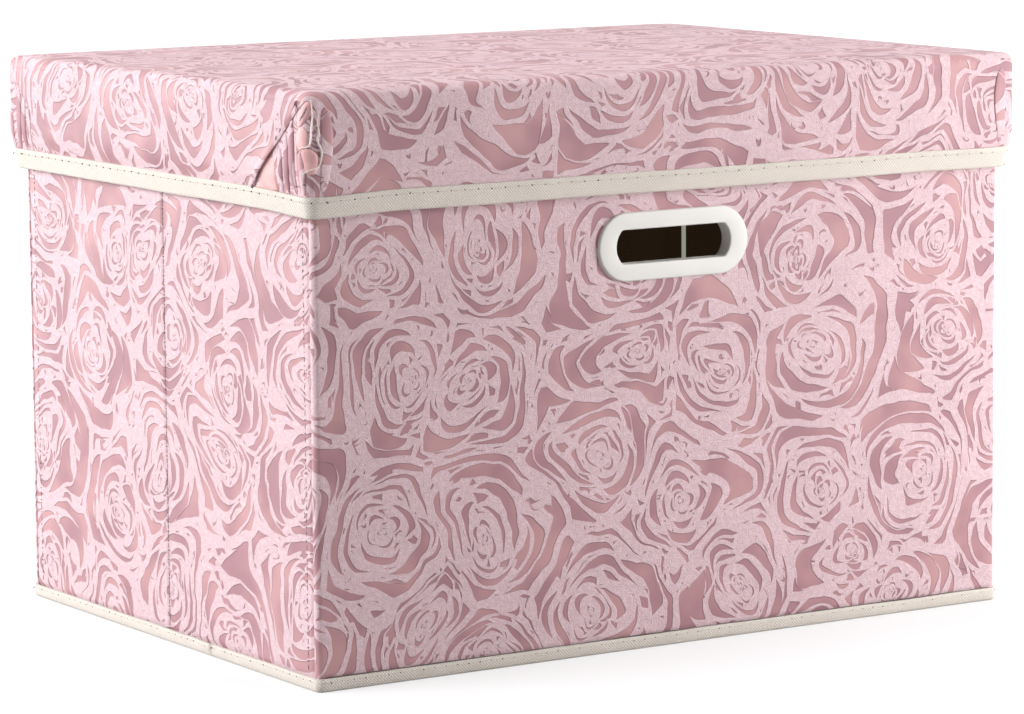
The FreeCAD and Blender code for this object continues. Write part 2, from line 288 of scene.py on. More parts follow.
def oval(length, height, end_radius, corner_radius=0.0, arc_points=24, flat_points=16,
         corner_points=6):
    """Closed outline (x, z) round the origin: flat above and below, an arc at each end."""
    flat_x = length / 2 - end_radius + math.sqrt(max(0.0, end_radius ** 2 - (height / 2) ** 2))
    centre_x = length / 2 - end_radius
    inner = end_radius - corner_radius
    if corner_radius > 0:
        round_z = height / 2 - corner_radius
        round_x = centre_x + math.sqrt(inner ** 2 - round_z ** 2)
        spread = math.asin(round_z / inner)
    else:
        round_x = flat_x
        spread = math.asin(min(1.0, height / 2 / end_radius))
    quarter = []
    for index in range(arc_points + 1):
        angle = spread * index / arc_points
        quarter.append((centre_x + end_radius * math.cos(angle), end_radius * math.sin(angle)))
    if corner_radius > 0:
        for index in range(1, corner_points + 1):
            angle = spread + (math.pi / 2 - spread) * index / corner_points
            quarter.append((round_x + corner_radius * math.cos(angle),
                            round_z + corner_radius * math.sin(angle)))
    for index in range(1, flat_points + 1):
        quarter.append((round_x * (1 - index / flat_points), height / 2))
    upper = quarter + [(-x, z) for x, z in reversed(quarter[:-1])]
    return upper + [(x, -z) for x, z in reversed(upper[1:-1])]


def prism(name, outline, y_low, y_high):
    """Solid prism across Y over an outline (x, z) set at the grip's height."""
    bm = bmesh.new()
    rings = []
    for y in (y_low, y_high):
        rings.append([bm.verts.new((x, y, grip_centre_z + z)) for x, z in outline])
    count = len(outline)
    for index in range(count):
        after = (index + 1) % count
        bm.faces.new((rings[0][index], rings[0][after], rings[1][after], rings[1][index]))
    for ring in rings:
        bm.faces.new(ring)
    bmesh.ops.recalc_face_normals(bm, faces=bm.faces)
    return add_piece(name, mesh_of(name, bm))


def cut_open(piece, y_low, y_high):
    """Cuts the grip's opening out of a wall's cloth."""
    grow = 2 * (TUNNEL_WALL + CUT_CLEARANCE)
    outline = oval(SLOT_LENGTH + grow, SLOT_HEIGHT + grow,
                   SLOT_END_RADIUS + TUNNEL_WALL + CUT_CLEARANCE, flat_points=2)
    cutter = prism("cutter", outline, y_low, y_high)
    cut = piece.modifiers.new("cut", "BOOLEAN")
    cut.object = cutter
    cut.operation = "DIFFERENCE"
    cut.solver = "EXACT"
    set_modifiers(piece)
    bpy.data.objects.remove(cutter)


CUT_OUTSIDE, CUT_INSIDE = 10 * MM, 20 * MM
front_cut = (-half_depth - CUT_OUTSIDE, -half_depth + CUT_INSIDE)
back_cut = (half_depth - CUT_INSIDE, half_depth + CUT_OUTSIDE)
cut_open(front_cloth, *front_cut)
cut_open(back_cloth, *back_cut)
print("front cloth open at the grip:", len(front_cloth.data.polygons), "faces")

# %% [markdown]
# Each end wall is one cloth over two half panels. Two cloths would be simpler, but they would
# open at the crease when the box folds. The one cloth dips into the crease in the middle, where a
# line of stitches holds it, and a little into the front corner seam. At the rear corner it lies
# level.

# %% End wall cloth
CREASE_DEPTH = 0.7 * MM
CREASE_HALF = 1.8 * MM
FRONT_DIP = 0.8 * MM
REAR_DIP = 0.15 * MM
DIP_RUN = 2.5 * MM


def end_cloth(name, sign, seed):
    """Cloth of the left end (sign -1) or the right end (sign 1)."""
    depths = stations(-end_reach, end_reach, COVER_STEP, fine=(-end_reach, 0.0, end_reach),
                      fine_step=0.9 * MM, reach=6 * MM)
    rows = []
    for z in cover_heights:
        row = []
        for y in depths:
            inside = smooth(0, SIDE_HOLD, end_reach - abs(y)) * smooth(3 * MM, 40 * MM, abs(y))
            puff = wall_puff(y, z, inside, 80 * MM, seed)
            crease = CREASE_DEPTH * max(0.0, 1 - abs(y) / CREASE_HALF) ** 1.5
            dip = (FRONT_DIP if y < 0 else REAR_DIP) * (1 - smooth(0, DIP_RUN, end_reach - abs(y)))
            x = -half_width - puff + crease + max(dip, tape_pinch(z))
            row.append((Vector((x * -sign, y, z)), ((y * -sign) - half_width - half_depth, z)))
        rows.append(row[::-1] if sign < 0 else row)
    return sheet_piece(name, [rows], COVER_CLOTH)


left_end_cloth = end_cloth("left_end_cloth", -1, 14.2)
right_end_cloth = end_cloth("right_end_cloth", 1, 21.7)
print("end cloth:", len(left_end_cloth.data.polygons), "faces")

# %% [markdown]
# Inside, every wall has a plain non-woven lining. A copy of the outer cloth could be turned
# inwards, but the lining is hardly seen, so a coarser grid does. The linings of the long walls
# are cut open at the grip as well, and the lining of an end wall has a dent at the crease.

# %% Wall linings
LINING_CLOTH = 0.5 * MM
LINING_STEP = 12 * MM
LINING_SINK = 0.25 * MM
LINING_UNEVEN = 0.12 * MM
LINING_DENT = 0.5 * MM
LINING_TUCK = 1.5 * MM
lining_reach = half_width - wall_thickness + LINING_TUCK
lining_heights = stations(wall_bottom, wall_cloth_top, LINING_STEP)


def long_lining(name, sign):
    """Lining of the front wall (sign -1) or the back wall (sign 1)."""
    rows = []
    for z in lining_heights:
        row = []
        for x in stations(-lining_reach, lining_reach, LINING_STEP):
            y = wall_inner_y + LINING_SINK + LINING_UNEVEN * wave(x, z, 60 * MM, 31 + sign)
            row.append((Vector((x, y * sign, z)), (x * sign, z)))
        rows.append(row if sign > 0 else row[::-1])
    return sheet_piece(name, [rows], LINING_CLOTH)


def end_lining(name, sign):
    """Lining of the left end (sign -1) or the right end (sign 1)."""
    rows = []
    for z in lining_heights:
        row = []
        for y in stations(-end_reach, end_reach, LINING_STEP, fine=(0.0,), reach=4 * MM):
            dent = LINING_DENT * max(0.0, 1 - abs(y) / (2 * MM))
            uneven = LINING_UNEVEN * wave(y, z, 60 * MM, 35 + sign)
            x = half_width - wall_thickness + LINING_SINK + dent + uneven
            row.append((Vector((x * sign, y, z)), (y, z)))
        rows.append(row[::-1] if sign > 0 else row)
    return sheet_piece(name, [rows], LINING_CLOTH)


front_lining_cloth = long_lining("front_lining_cloth", -1)
back_lining_cloth = long_lining("back_lining_cloth", 1)
left_lining_cloth = end_lining("left_lining_cloth", -1)
right_lining_cloth = end_lining("right_lining_cloth", 1)
cut_open(front_lining_cloth, *front_cut)
cut_open(back_lining_cloth, *back_cut)
print("lining of a long wall:", len(front_lining_cloth.data.polygons), "faces")

# %% [markdown]
# The upright seams are closed inside with a narrow pale tape near each corner. One of them shows
# as a pale line through the grip's slot. The line could be painted on the lining, but a tape
# stands up from it and moves with its own half panel, so each is a thin strip of its own.

# %% Inner seam tapes
SEAM_TAPE_WIDTH = 4.4 * MM
SEAM_TAPE_Y = 142 * MM
SEAM_TAPE_CLOTH = 0.4 * MM
SEAM_TAPE_STAND = 0.2 * MM


def seam_tape(name, sign_x, sign_y):
    """Narrow upright tape on the lining of an end half panel."""
    rows = []
    for z in stations(12 * MM, wall_cloth_top - 14 * MM, 10 * MM):
        row = []
        for share in (-0.5, -0.25, 0.0, 0.25, 0.5):
            y = sign_y * SEAM_TAPE_Y + share * SEAM_TAPE_WIDTH + 0.3 * MM * wave(z, 0, 40 * MM, 91)
            x = half_width - wall_thickness - SEAM_TAPE_STAND * math.cos(math.pi * share)
            row.append((Vector((sign_x * x, y, z)), (z, y)))
        rows.append(row[::-1] if sign_x > 0 else row)
    return sheet_piece(name, [rows], SEAM_TAPE_CLOTH)


seam_tapes = {}
for side, sign_x in (("left", -1), ("right", 1)):
    for part, sign_y in (("rear", 1), ("front", -1)):
        half = side + "_" + part
        seam_tapes[half] = seam_tape(half + "_seam_tape", sign_x, sign_y)
print("seam tapes:", sorted(seam_tapes))

# %% [markdown]
# Tapes are folded lengthwise over an edge and sewn down. A curve with a bevel object is the usual
# way to sweep a section, but it twists at corners and has no flat cloth map. Here a closed
# section is swept in code along a plan path. The path gives each point with its outward direction
# and its distance along the tape. The section gives how far out and how high each point of the
# fold lies.

# %% Sweeping a folded tape
def rounded_path(half_x, half_y, radius, step, corner_segments=8, skin=0.0):
    """Plan path round the box: (x, y, outward x, outward y, distance), from the front left.

    The distance is measured at a skin that lies this far outside the path.
    """
    points = []
    inner_x, inner_y = half_x - radius, half_y - radius
    sides = (((-inner_x, -half_y), (inner_x, -half_y), (0, -1), -90),
             ((half_x, -inner_y), (half_x, inner_y), (1, 0), 0),
             ((inner_x, half_y), (-inner_x, half_y), (0, 1), 90),
             ((-half_x, inner_y), (-half_x, -inner_y), (-1, 0), 180))
    for (x0, y0), (x1, y1), normal, degrees in sides:
        count = max(1, round(math.hypot(x1 - x0, y1 - y0) / step))
        for index in range(count):
            share = index / count
            points.append((x0 + (x1 - x0) * share, y0 + (y1 - y0) * share, *normal))
        centre_x = x1 - normal[0] * radius
        centre_y = y1 - normal[1] * radius
        for index in range(corner_segments):
            angle = math.radians(degrees + 90 * index / corner_segments)
            points.append((centre_x + radius * math.cos(angle), centre_y + radius * math.sin(angle),
                           math.cos(angle), math.sin(angle)))
    path = []
    distance = 0.0
    for index, (x, y, nx, ny) in enumerate(points):
        if index:
            x0, y0, nx0, ny0 = points[index - 1]
            distance += math.hypot(x - x0 + (nx - nx0) * skin, y - y0 + (ny - ny0) * skin)
        path.append((x, y, nx, ny, distance))
    return path


def sweep(name, path, section, closed, shift=None):
    """A closed section of (out, z, across) points swept along a path.

    shift, where given, moves a point: it takes its place, path distance and place across.
    """
    bm = bmesh.new()
    rows = []
    for x, y, nx, ny, distance in path:
        row = []
        for out, z, across in section:
            place = Vector((x + nx * out, y + ny * out, z))
            if shift:
                place = shift(place, Vector((nx, ny, 0)), distance, across)
            row.append((place, (distance, across)))
        rows.append(row)
    if closed:
        step = math.hypot(path[0][0] - path[-1][0], path[0][1] - path[-1][1])
        total = path[-1][4] + step
        rows.append([(place.copy(), (total, across)) for place, (_, across) in rows[0]])
    add_grid(bm, rows, closed=True)
    if not closed:
        bm.verts.ensure_lookup_table()
        count = len(section)
        bm.faces.new([bm.verts[index] for index in range(count)])
        last = len(bm.verts) - count
        bm.faces.new([bm.verts[last + index] for index in range(count)])
    close_up(bm, 0.005 * MM)
    return add_piece(name, mesh_of(name, bm))


print("a path round a 1 m square:", len(rounded_path(0.5, 0.5, 0.05, 0.1)), "points")

# %% Sections of a folded tape
def measured(section):
    """Adds to each (out, z) point of a section its distance along the section."""
    result = []
    across = 0.0
    for index, (out, z) in enumerate(section):
        if index:
            across += math.hypot(out - section[index - 1][0], z - section[index - 1][1])
        result.append((out, z, across))
    return result


def folded_section(outer, inner, thickness, rounds=4):
    """Closed section of a tape from the points of its outer side and of its inner side.

    Both run from the tape's outer edge round the fold to its inner edge. The two long edges are
    closed with a small round.
    """
    section = list(outer)
    for a, b in ((outer[-1], inner[-1]), (inner[0], outer[0])):
        middle = ((a[0] + b[0]) / 2, (a[1] + b[1]) / 2)
        reach = thickness / 2
        for index in range(1, rounds):
            angle = math.pi * index / rounds
            section.append((middle[0] + (a[0] - middle[0]) * math.cos(angle),
                            middle[1] + (a[1] - middle[1]) * math.cos(angle)
                            + reach * math.sin(angle)))
        if a is outer[-1]:
            section.extend(reversed(inner))
    return measured(section)


print("a measured section:", measured([(0, 0), (0, 3), (4, 3)]))

# %% [markdown]
# The base tape is a narrow welt, folded round the bottom edge of the box. It is sewn on in one
# length, and its ends overlap on the left end wall, where the photo shows a step. Two ends lying
# over each other could be modelled, but the lower one is never seen. So one closed sweep steps
# out sharply where the upper end starts, and comes back slowly.

# %% Base tape
BASE_TAPE_CLOTH = 0.8 * MM
GROOVE_RISE = 0.7 * MM
LAP_Y = -half_depth + 115.6 * MM
LAP_LENGTH, LAP_STEP, LAP_SHARP = 18 * MM, 0.7 * MM, 0.3 * MM
base_lap = 9.0 * MM
base_top = base_tape_high.z
base_outer = [(0.80 * MM, base_top), (1.10 * MM, base_top - 0.5 * MM),
              (1.25 * MM, base_top - 2.0 * MM), (1.25 * MM, base_top / 2),
              (1.05 * MM, 1.6 * MM), (0.6 * MM, 0.6 * MM), (-0.1 * MM, 0.1 * MM),
              (-0.8 * MM, 0.0), (-base_lap / 2, 0.0), (-base_lap, 0.0)]
base_inner = [(0.30 * MM, base_top), (0.25 * MM, base_top - 0.6 * MM),
              (0.05 * MM, base_top - 2.0 * MM), (0.02 * MM, base_top / 2),
              (0.02 * MM, 2.0 * MM), (-0.1 * MM, 1.1 * MM), (-0.6 * MM, 0.8 * MM),
              (-1.2 * MM, 0.78 * MM), (-base_lap / 2, 0.78 * MM), (-base_lap, 0.78 * MM)]


def base_shift(place, outward, distance, across):
    """Small unevenness of the sewn tape, only above the floor, and its overlapping end."""
    lift = smooth(1 * MM, 5 * MM, place.z)
    swell = 0.25 * MM * lift * wave(distance, 0, 22 * MM, 51.0)
    if outward.x < -0.9:
        swell += LAP_STEP * lift * (smooth(LAP_Y, LAP_Y + LAP_SHARP, place.y)
                                    - smooth(LAP_Y + 0.6 * LAP_LENGTH, LAP_Y + LAP_LENGTH, place.y))
    return place + outward * swell + Vector((0, 0, 0.35 * MM * lift * wave(distance, 0, 45 * MM, 55)))


def with_lap(path):
    """Adds close points on the left side of a path, where the tape's end steps out."""
    result = []
    for here, after in zip(path, path[1:] + path[:1]):
        result.append(here)
        if here[2] < -0.9 and after[1] < LAP_Y < here[1] - LAP_SHARP:
            for y in (LAP_Y + LAP_SHARP, LAP_Y):
                result.append((here[0], y, here[2], here[3], here[4] + here[1] - y))
    return result


base_path = with_lap(rounded_path(half_width, half_depth, wall_corner_radius, 5 * MM, skin=1 * MM))
base_tape_cloth = sweep("base_tape_cloth", base_path,
                        folded_section(base_outer, base_inner, BASE_TAPE_CLOTH), True, base_shift)
print("base tape:", len(base_tape_cloth.data.polygons), "faces")

# %% [markdown]
# Between the welt and the wall cloth there is a thin dark groove, in front and behind. The shadow
# of the drawn-in cloth makes most of it, but a render softens it with light from the floor. So a
# thin dark strip of painted shadow lies in the groove, swept with the same small shifts as the tape.

# %% Painted shadow in the groove above the base tape
shadow_strips_in_groove = []
groove_top = base_top + GROOVE_RISE
# The strip is painted shadow: a dark sheet put where the groove is only in shade.
painted_shadow_section = measured([(-0.5 * MM, base_top - 0.6 * MM), (0.3 * MM, base_top - 0.6 * MM),
                           (0.35 * MM, groove_top - 0.2 * MM), (-0.5 * MM, groove_top)])
for wall, sign in (("front", -1), ("back", 1)):
    edge_x = half_width - 4 * MM
    path = [(x, sign * half_depth, 0, sign, x) for x in stations(-edge_x, edge_x, 8 * MM)]
    shadow_strips_in_groove.append(sweep(wall + "_groove_painted_shadow", path, painted_shadow_section, False, base_shift))
print("groove strips:", [piece.name for piece in shadow_strips_in_groove])

# %% [markdown]
# The floor of the box is a cloth that lies on the tape's lower half, and a loose board in a sewn
# sleeve lies on it. Both could be boxes. The floor cloth is a flat grid, because little of it is
# seen. The sleeve is two grids that round off and meet in a seam, because with the lid off its
# edge shows that it is cloth.

# %% Floor cloth and sleeve
FLOOR_CLOTH = 0.7 * MM
SLEEVE_CLOTH = 0.5 * MM
floor_edge_x = half_width - 0.6 * MM
floor_edge_y = half_depth - 0.6 * MM


def floor_cloth_piece():
    """Flat cloth just above the tape's lower half."""
    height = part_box("base_cloth")[0].z + FLOOR_CLOTH + 0.05 * MM
    rows = [[(Vector((x, y, height)), (x, y)) for x in stations(-floor_edge_x, floor_edge_x, 12 * MM)]
            for y in stations(-floor_edge_y, floor_edge_y, 12 * MM)]
    return sheet_piece("floor_cloth", [rows], FLOOR_CLOTH)


floor_cloth = floor_cloth_piece()


def floor_sleeve_piece():
    """Sleeve of the loose floor board: two cloths sewn together at their edges."""
    bm = bmesh.new()
    reach_x, reach_y = sleeve_high.x, sleeve_high.y
    middle = (sleeve_low.z + sleeve_high.z) / 2
    half = (sleeve_high.z - sleeve_low.z) / 2
    for side in (1, -1):
        rows = []
        for y in stations(-reach_y, reach_y, 14 * MM, fine=(-reach_y, reach_y), reach=5 * MM):
            row = []
            for x in stations(-reach_x, reach_x, 14 * MM, fine=(-reach_x, reach_x), reach=5 * MM):
                edge = min(reach_x - abs(x), reach_y - abs(y))
                rise = half * math.sqrt(smooth(-1.2 * MM, 3.2 * MM, edge)) if edge > 0 else 0.0
                z = middle + side * rise
                row.append((Vector((x, y, z)), (x * side, y)))
            rows.append(row if side > 0 else row[::-1])
        add_grid(bm, rows)
    close_up(bm)
    return thicken(add_piece("floor_sleeve", mesh_of("floor_sleeve", bm)), SLEEVE_CLOTH)


floor_sleeve = floor_sleeve_piece()
print("floor pieces:", len(floor_cloth.data.polygons), len(floor_sleeve.data.polygons), "faces")

# %% [markdown]
# A tape is also folded over the rim of each wall, where it shows when the lid is off. One tape
# round the whole rim would tear when the box folds, so each wall and each half panel has its own
# length, swept like the base tape.

# %% Rim tapes
RIM_TAPE = 0.7 * MM
RIM_ROUND = 1.2 * MM


def rim_section(depth_outer, depth_inner):
    """Section of a rim tape over a wall whose cloth faces lie at these outward offsets."""
    top = rim_high.z
    bottom = rim_low.z
    width = depth_outer - depth_inner
    outer = [(depth_outer + 0.15 * MM, bottom), (depth_outer + 0.3 * MM, bottom + 0.6 * MM),
             (depth_outer + 0.25 * MM, (top + bottom) / 2), (depth_outer, top - RIM_ROUND)]
    steps = 6
    for index in range(1, steps):
        angle = math.pi * index / steps
        outer.append((depth_outer - width / 2 * (1 - math.cos(angle)),
                      top - RIM_ROUND + RIM_ROUND * math.sin(angle)))
    outer += [(depth_inner, top - RIM_ROUND), (depth_inner - 0.25 * MM, (top + bottom) / 2),
              (depth_inner - 0.3 * MM, bottom + 0.6 * MM), (depth_inner - 0.15 * MM, bottom)]
    inner = []
    middle = (depth_outer + depth_inner) / 2
    for out, z in outer:
        shrink = 1 - RIM_TAPE / (width / 2)
        on_round = z > top - RIM_ROUND - 0.1 * MM
        inner.append((middle + (out - middle) * shrink, z - RIM_TAPE if on_round else z))
    return folded_section(outer, inner, RIM_TAPE)


def straight_path(start, end, outward, step=8 * MM):
    """Path between two plan points with one outward direction."""
    length = math.hypot(end[0] - start[0], end[1] - start[1])
    count = max(1, round(length / step))
    path = []
    for index in range(count + 1):
        share = index / count
        path.append((start[0] + (end[0] - start[0]) * share, start[1] + (end[1] - start[1]) * share,
                     *outward, length * share))
    return path


rim_tapes = {}
rim_paths = {}
rim_profile = rim_section(-0.2 * MM, -wall_thickness + 0.3 * MM)
long_end = half_width - 0.3 * MM
for wall, sign in (("front", -1), ("back", 1)):
    path = straight_path((-long_end, sign * half_depth), (long_end, sign * half_depth), (0, sign))
    rim_tapes[wall + "_wall"] = sweep(wall + "_rim_tape", path, rim_profile, False)
    rim_paths[wall + "_wall"] = path
for side, sign_x in (("left", -1), ("right", 1)):
    for part, sign_y in (("rear", 1), ("front", -1)):
        low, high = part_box(side + "_" + part + "_rim_binding")
        path = straight_path((sign_x * half_width, low.y), (sign_x * half_width, high.y), (sign_x, 0))
        body = side + "_" + part
        rim_tapes[body] = sweep(body + "_rim_tape", path, rim_profile, False)
        rim_paths[body] = path
print("rim tapes:", sorted(rim_tapes))

# %% [markdown]
# The lid is one cloth over a shallow card box. A cube with a Bevel modifier would give the form,
# but no rows to sag or to ripple. So the skin is built from stations round the plan and rows up
# the skirt and round the top edge. With the same radius on the upright corners and on the top
# edge, the last row is a plain rectangle, which a regular grid fills.

# %% Section and corners of the lid
LID_EDGE_RADIUS = 6.0 * MM
LID_CLOTH = 0.9 * MM
LID_SAG = 0.9 * MM
LID_RIPPLE = 0.5 * MM
CORNER_DROP = 0.6 * MM
skirt_board_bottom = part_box("lid_front_board")[0].z
lid_half_x = lid_high.x
lid_half_y = lid_high.y
hem_low_cover = hem_bottom + 0.6 * MM
hem_pull = 3.8 * MM


def hem_taper(z):
    """How far the skirt has come in towards the hem at a height."""
    return hem_pull * (1 - smooth(hem_low_cover, skirt_board_bottom + 4 * MM, z))


def lid_rows():
    """Rows of the lid's section: (height, how far in, drop along the cloth, on the rolled edge)."""
    rows = []
    skirt_top = lid_top - LID_EDGE_RADIUS
    for z in stations(hem_low_cover, skirt_top, 4 * MM):
        rows.append((z, hem_taper(z), skirt_top - z + LID_EDGE_RADIUS * math.pi / 2, False))
    steps = 8
    for index in range(steps + 1):
        angle = math.pi / 2 * index / steps
        rows.append((skirt_top + LID_EDGE_RADIUS * math.sin(angle),
                     LID_EDGE_RADIUS * (1 - math.cos(angle)),
                     LID_EDGE_RADIUS * (math.pi / 2 - angle), True))
    return rows


def lid_flat(place):
    """Soft sag and swell of the lid's top."""
    x, y = place.x, place.y
    inside = smooth(0, 40 * MM, lid_half_x - abs(x)) * smooth(0, 40 * MM, lid_half_y - abs(y))
    return LID_SAG * inside * (1 + wave(x, y, 120 * MM, 61.0))


def soften_corner(place):
    """Drops and rounds the lid's corners a little, the front left one most."""
    near = Vector((abs(place.x) - lid_half_x, abs(place.y) - lid_half_y, place.z - lid_top)).length
    most = CORNER_DROP if place.x < 0 and place.y < 0 else 0.4 * CORNER_DROP
    share = 1 - smooth(0, 30 * MM, near)
    centre = Vector((0, 0, lid_top - 60 * MM))
    inward = (centre - place).normalized()
    return place + inward * most * share * 0.5 - Vector((0, 0, most * share * 0.6))


print("the hem comes in by %.1f mm" % (1000 * hem_taper(hem_low_cover)))

# %% Skin of the lid
def lid_skin():
    """Grids of the lid's cloth: the skirt with its rolled edge, and the top."""
    inner_x = lid_half_x - LID_EDGE_RADIUS
    inner_y = lid_half_y - LID_EDGE_RADIUS
    xs = stations(-inner_x, inner_x, 6 * MM, fine=(-inner_x, inner_x), fine_step=2 * MM, reach=30 * MM)
    ys = stations(-inner_y, inner_y, 6 * MM, fine=(-inner_y, inner_y), fine_step=2 * MM, reach=30 * MM)
    sides = []
    arc = 8
    front = [(x, -inner_y, 0, -1) for x in xs]
    right = [(inner_x, y, 1, 0) for y in ys]
    back = [(x, inner_y, 0, 1) for x in reversed(xs)]
    left = [(-inner_x, y, -1, 0) for y in reversed(ys)]
    for side, centre, degrees in ((front, (inner_x, -inner_y), -90), (right, (inner_x, inner_y), 0),
                                  (back, (-inner_x, inner_y), 90), (left, (-inner_x, -inner_y), 180)):
        sides.extend(side)
        for index in range(1, arc):
            angle = math.radians(degrees + 90 * index / arc)
            sides.append((*centre, math.cos(angle), math.sin(angle)))
    sides.append(sides[0])
    rows = []
    for z, inset, drop, rolled in lid_rows():
        row = []
        for x, y, nx, ny in sides:
            out = LID_EDGE_RADIUS - inset
            place = Vector((x + nx * out, y + ny * out, z))
            on_skirt = smooth(0, 20 * MM, lid_top - LID_EDGE_RADIUS - z)
            on_skirt *= smooth(hem_top - 2 * MM, hem_top + 8 * MM, z)
            ripple = LID_RIPPLE * on_skirt * wave(x + y, z, 55 * MM, 63.0)
            place += Vector((nx, ny, 0)) * ripple
            place = soften_corner(place)
            turn = LID_EDGE_RADIUS * math.atan2(abs(nx), abs(ny))
            length = lid_half_y - abs(y) - LID_EDGE_RADIUS if abs(nx) > 0.999 else 0.0
            along = min(abs(x), inner_x) + turn + length
            sign_x = 1 if x > 0 or nx > 0.001 else -1
            sign_y = 1 if y > 0 else -1
            if rolled or abs(nx) < 1e-6:
                cloth = (x + nx * drop, y + ny * drop)
            else:
                cloth = (sign_x * along, sign_y * (inner_y + drop))
            row.append((place, cloth))
        rows.append(row)
    top = []
    for y in ys:
        row = []
        for x in xs:
            place = Vector((x, y, lid_top))
            place.z += lid_flat(place)
            place = soften_corner(place)
            row.append((place, (x, y)))
        top.append(row)
    return [rows, top]


lid_grids = lid_skin()
lid_cloth = sheet_piece("lid_cloth", lid_grids, LID_CLOTH)
print("lid skin:", len(lid_cloth.data.polygons), "faces")

# %% [markdown]
# At each corner of the lid the cloth is folded as on a wrapped parcel. The long skirt turns the
# corner and lies underneath. The short skirt lies over it, and its end is folded back along a
# diagonal from the top corner to the hem. A cloth simulation could fold it, but it would never
# fold twice at the same place, so the fold is a grid with a slanted end.

# %% Lid end skirts, folded over the corners
FLAP_STAND = 1.3 * MM
FLAP_RUN = 66 * MM
FLAP_GAPE = 1.5 * MM
CALM_GAPE = 0.15


def lid_end_skirt(name, sign):
    """The cloth of the lid's left (-1) or right (1) side, lying over the turned corners."""
    skirt_top = lid_top - LID_EDGE_RADIUS
    heights = stations(hem_low_cover + 1 * MM, skirt_top, 3 * MM)
    across = 64
    rows = []
    low = heights[0]
    for z in heights:
        share = (skirt_top - z) / (skirt_top - low)
        reach = lid_half_y - LID_EDGE_RADIUS * 0.6 - FLAP_RUN * share
        row = []
        for index in range(across + 1):
            t = 2 * index / across - 1
            curved = math.copysign(1 - (1 - abs(t)) ** 1.6, t)
            y = reach * curved
            edge = reach - abs(y)
            free = smooth(0, 6 * MM, skirt_top - z) * smooth(hem_top - 2 * MM, hem_top + 8 * MM, z)
            stand = 0.15 * MM + FLAP_STAND * free * (0.35 + 0.65 * smooth(0, 3 * MM, edge))
            gape = smooth(hem_top, hem_top + 6 * MM, z)
            gape *= 1 - smooth(hem_top + 16 * MM, hem_top + 30 * MM, z)
            gape *= 1.0 if y * sign > 0 else CALM_GAPE
            stand += FLAP_GAPE * gape * (1 - smooth(0, 8 * MM, edge))
            ripple = LID_RIPPLE * free * wave(y, z, 50 * MM, 71.0 + sign)
            x = lid_half_x - hem_taper(z) + stand + ripple
            place = soften_corner(Vector((sign * x, y, z)))
            drop = skirt_top - z + LID_EDGE_RADIUS * math.pi / 2
            row.append((place, (sign * (lid_half_x - LID_EDGE_RADIUS + drop), y)))
        rows.append(row[::-1] if sign > 0 else row)
    return sheet_piece(name, [rows[::-1]], LID_CLOTH)


left_end_skirt = lid_end_skirt("lid_left_skirt", -1)
right_end_skirt = lid_end_skirt("lid_right_skirt", 1)
print("lid end skirt:", len(left_end_skirt.data.polygons), "faces")

# %% [markdown]
# Where the cloth turns a corner of the lid it lies in small upright folds. At two corners its raw
# edges and its plain reverse side show as well, and a few threads hold it. These could be
# sculpted, but then each corner would be sculpted anew. So each fold is drawn once in a flat map
# of the corner: how far round it (below 0 on the end side) and how high, in millimetres. The map
# lays it on every corner where it belongs.

# %% Map of a lid corner
CORNERS = ((-1, -1), (1, -1), (-1, 1), (1, 1))
LOOSE_CORNERS = ((-1, -1), (1, 1))
CALM_CORNER = 0.4


def corner_place(round_, height, lift, corner):
    """Place on the lid's skin near a corner, lifted off it."""
    radius = LID_EDGE_RADIUS
    arc = radius * math.pi / 2
    turn = min(1.0, max(0.0, round_ / arc + 0.5)) * math.pi / 2
    over = min(radius, max(0.0, height - (lid_top - radius)))
    out = math.sqrt(radius ** 2 - over ** 2) - hem_taper(height) + lift
    x = lid_half_x - radius + out * math.cos(turn) - max(0.0, round_ - arc / 2)
    y = lid_half_y - radius + out * math.sin(turn) - max(0.0, -round_ - arc / 2)
    return soften_corner(Vector((corner[0] * x, corner[1] * y, height)))


def corner_grid(rows, corner):
    """Grid of the corner's map, (round, height, lift) in mm, as places facing outwards."""
    result = []
    for row in rows:
        result.append([(corner_place(a * MM, b * MM, c * MM, corner), (a * MM, b * MM))
                       for a, b, c in row])
    first, second, third = result[0][0][0], result[0][-1][0], result[-1][0][0]
    facing = (second - first).cross(third - first)
    if facing.dot(Vector((*corner, 0))) < 0:
        result = [row[::-1] for row in result]
    return result


print("a place beside the front left corner:", corner_place(10 * MM, lid_top - 20 * MM, 0, (-1, -1)))

# %% Strips and patches
def curve_through(points, count=7):
    """Smooth line through points (Catmull-Rom)."""
    padded = [points[0]] + list(points) + [points[-1]]
    line = []
    for a, b, c, d in zip(padded, padded[1:], padded[2:], padded[3:]):
        for index in range(count):
            t = index / count
            line.append(tuple(0.5 * (2 * q + (r - p) * t + (2 * p - 5 * q + 4 * r - s) * t * t
                                     + (3 * q - p - 3 * r + s) * t ** 3)
                              for p, q, r, s in zip(a, b, c, d)))
    line.append(tuple(points[-1]))
    return line


def strip(points, width, rise, lift=0.05):
    """Rounded strip along a line, narrowing to its ends."""
    line = curve_through(points)
    rows = []
    for index, (a, b) in enumerate(line):
        before, after = line[max(0, index - 1)], line[min(len(line) - 1, index + 1)]
        along = Vector((after[0] - before[0], after[1] - before[1])).normalized()
        share = index / (len(line) - 1)
        slim = max(0.08, math.sin(math.pi * share) ** 0.5)
        row = []
        for part in (-1.0, -0.7, -0.35, 0.0, 0.35, 0.7, 1.0):
            reach = width / 2 * slim * part
            dome = rise * slim * math.sqrt(1 - part * part)
            row.append((a - along.y * reach, b + along.x * reach, lift + dome - 0.12 * abs(part)))
        rows.append(row)
    return rows


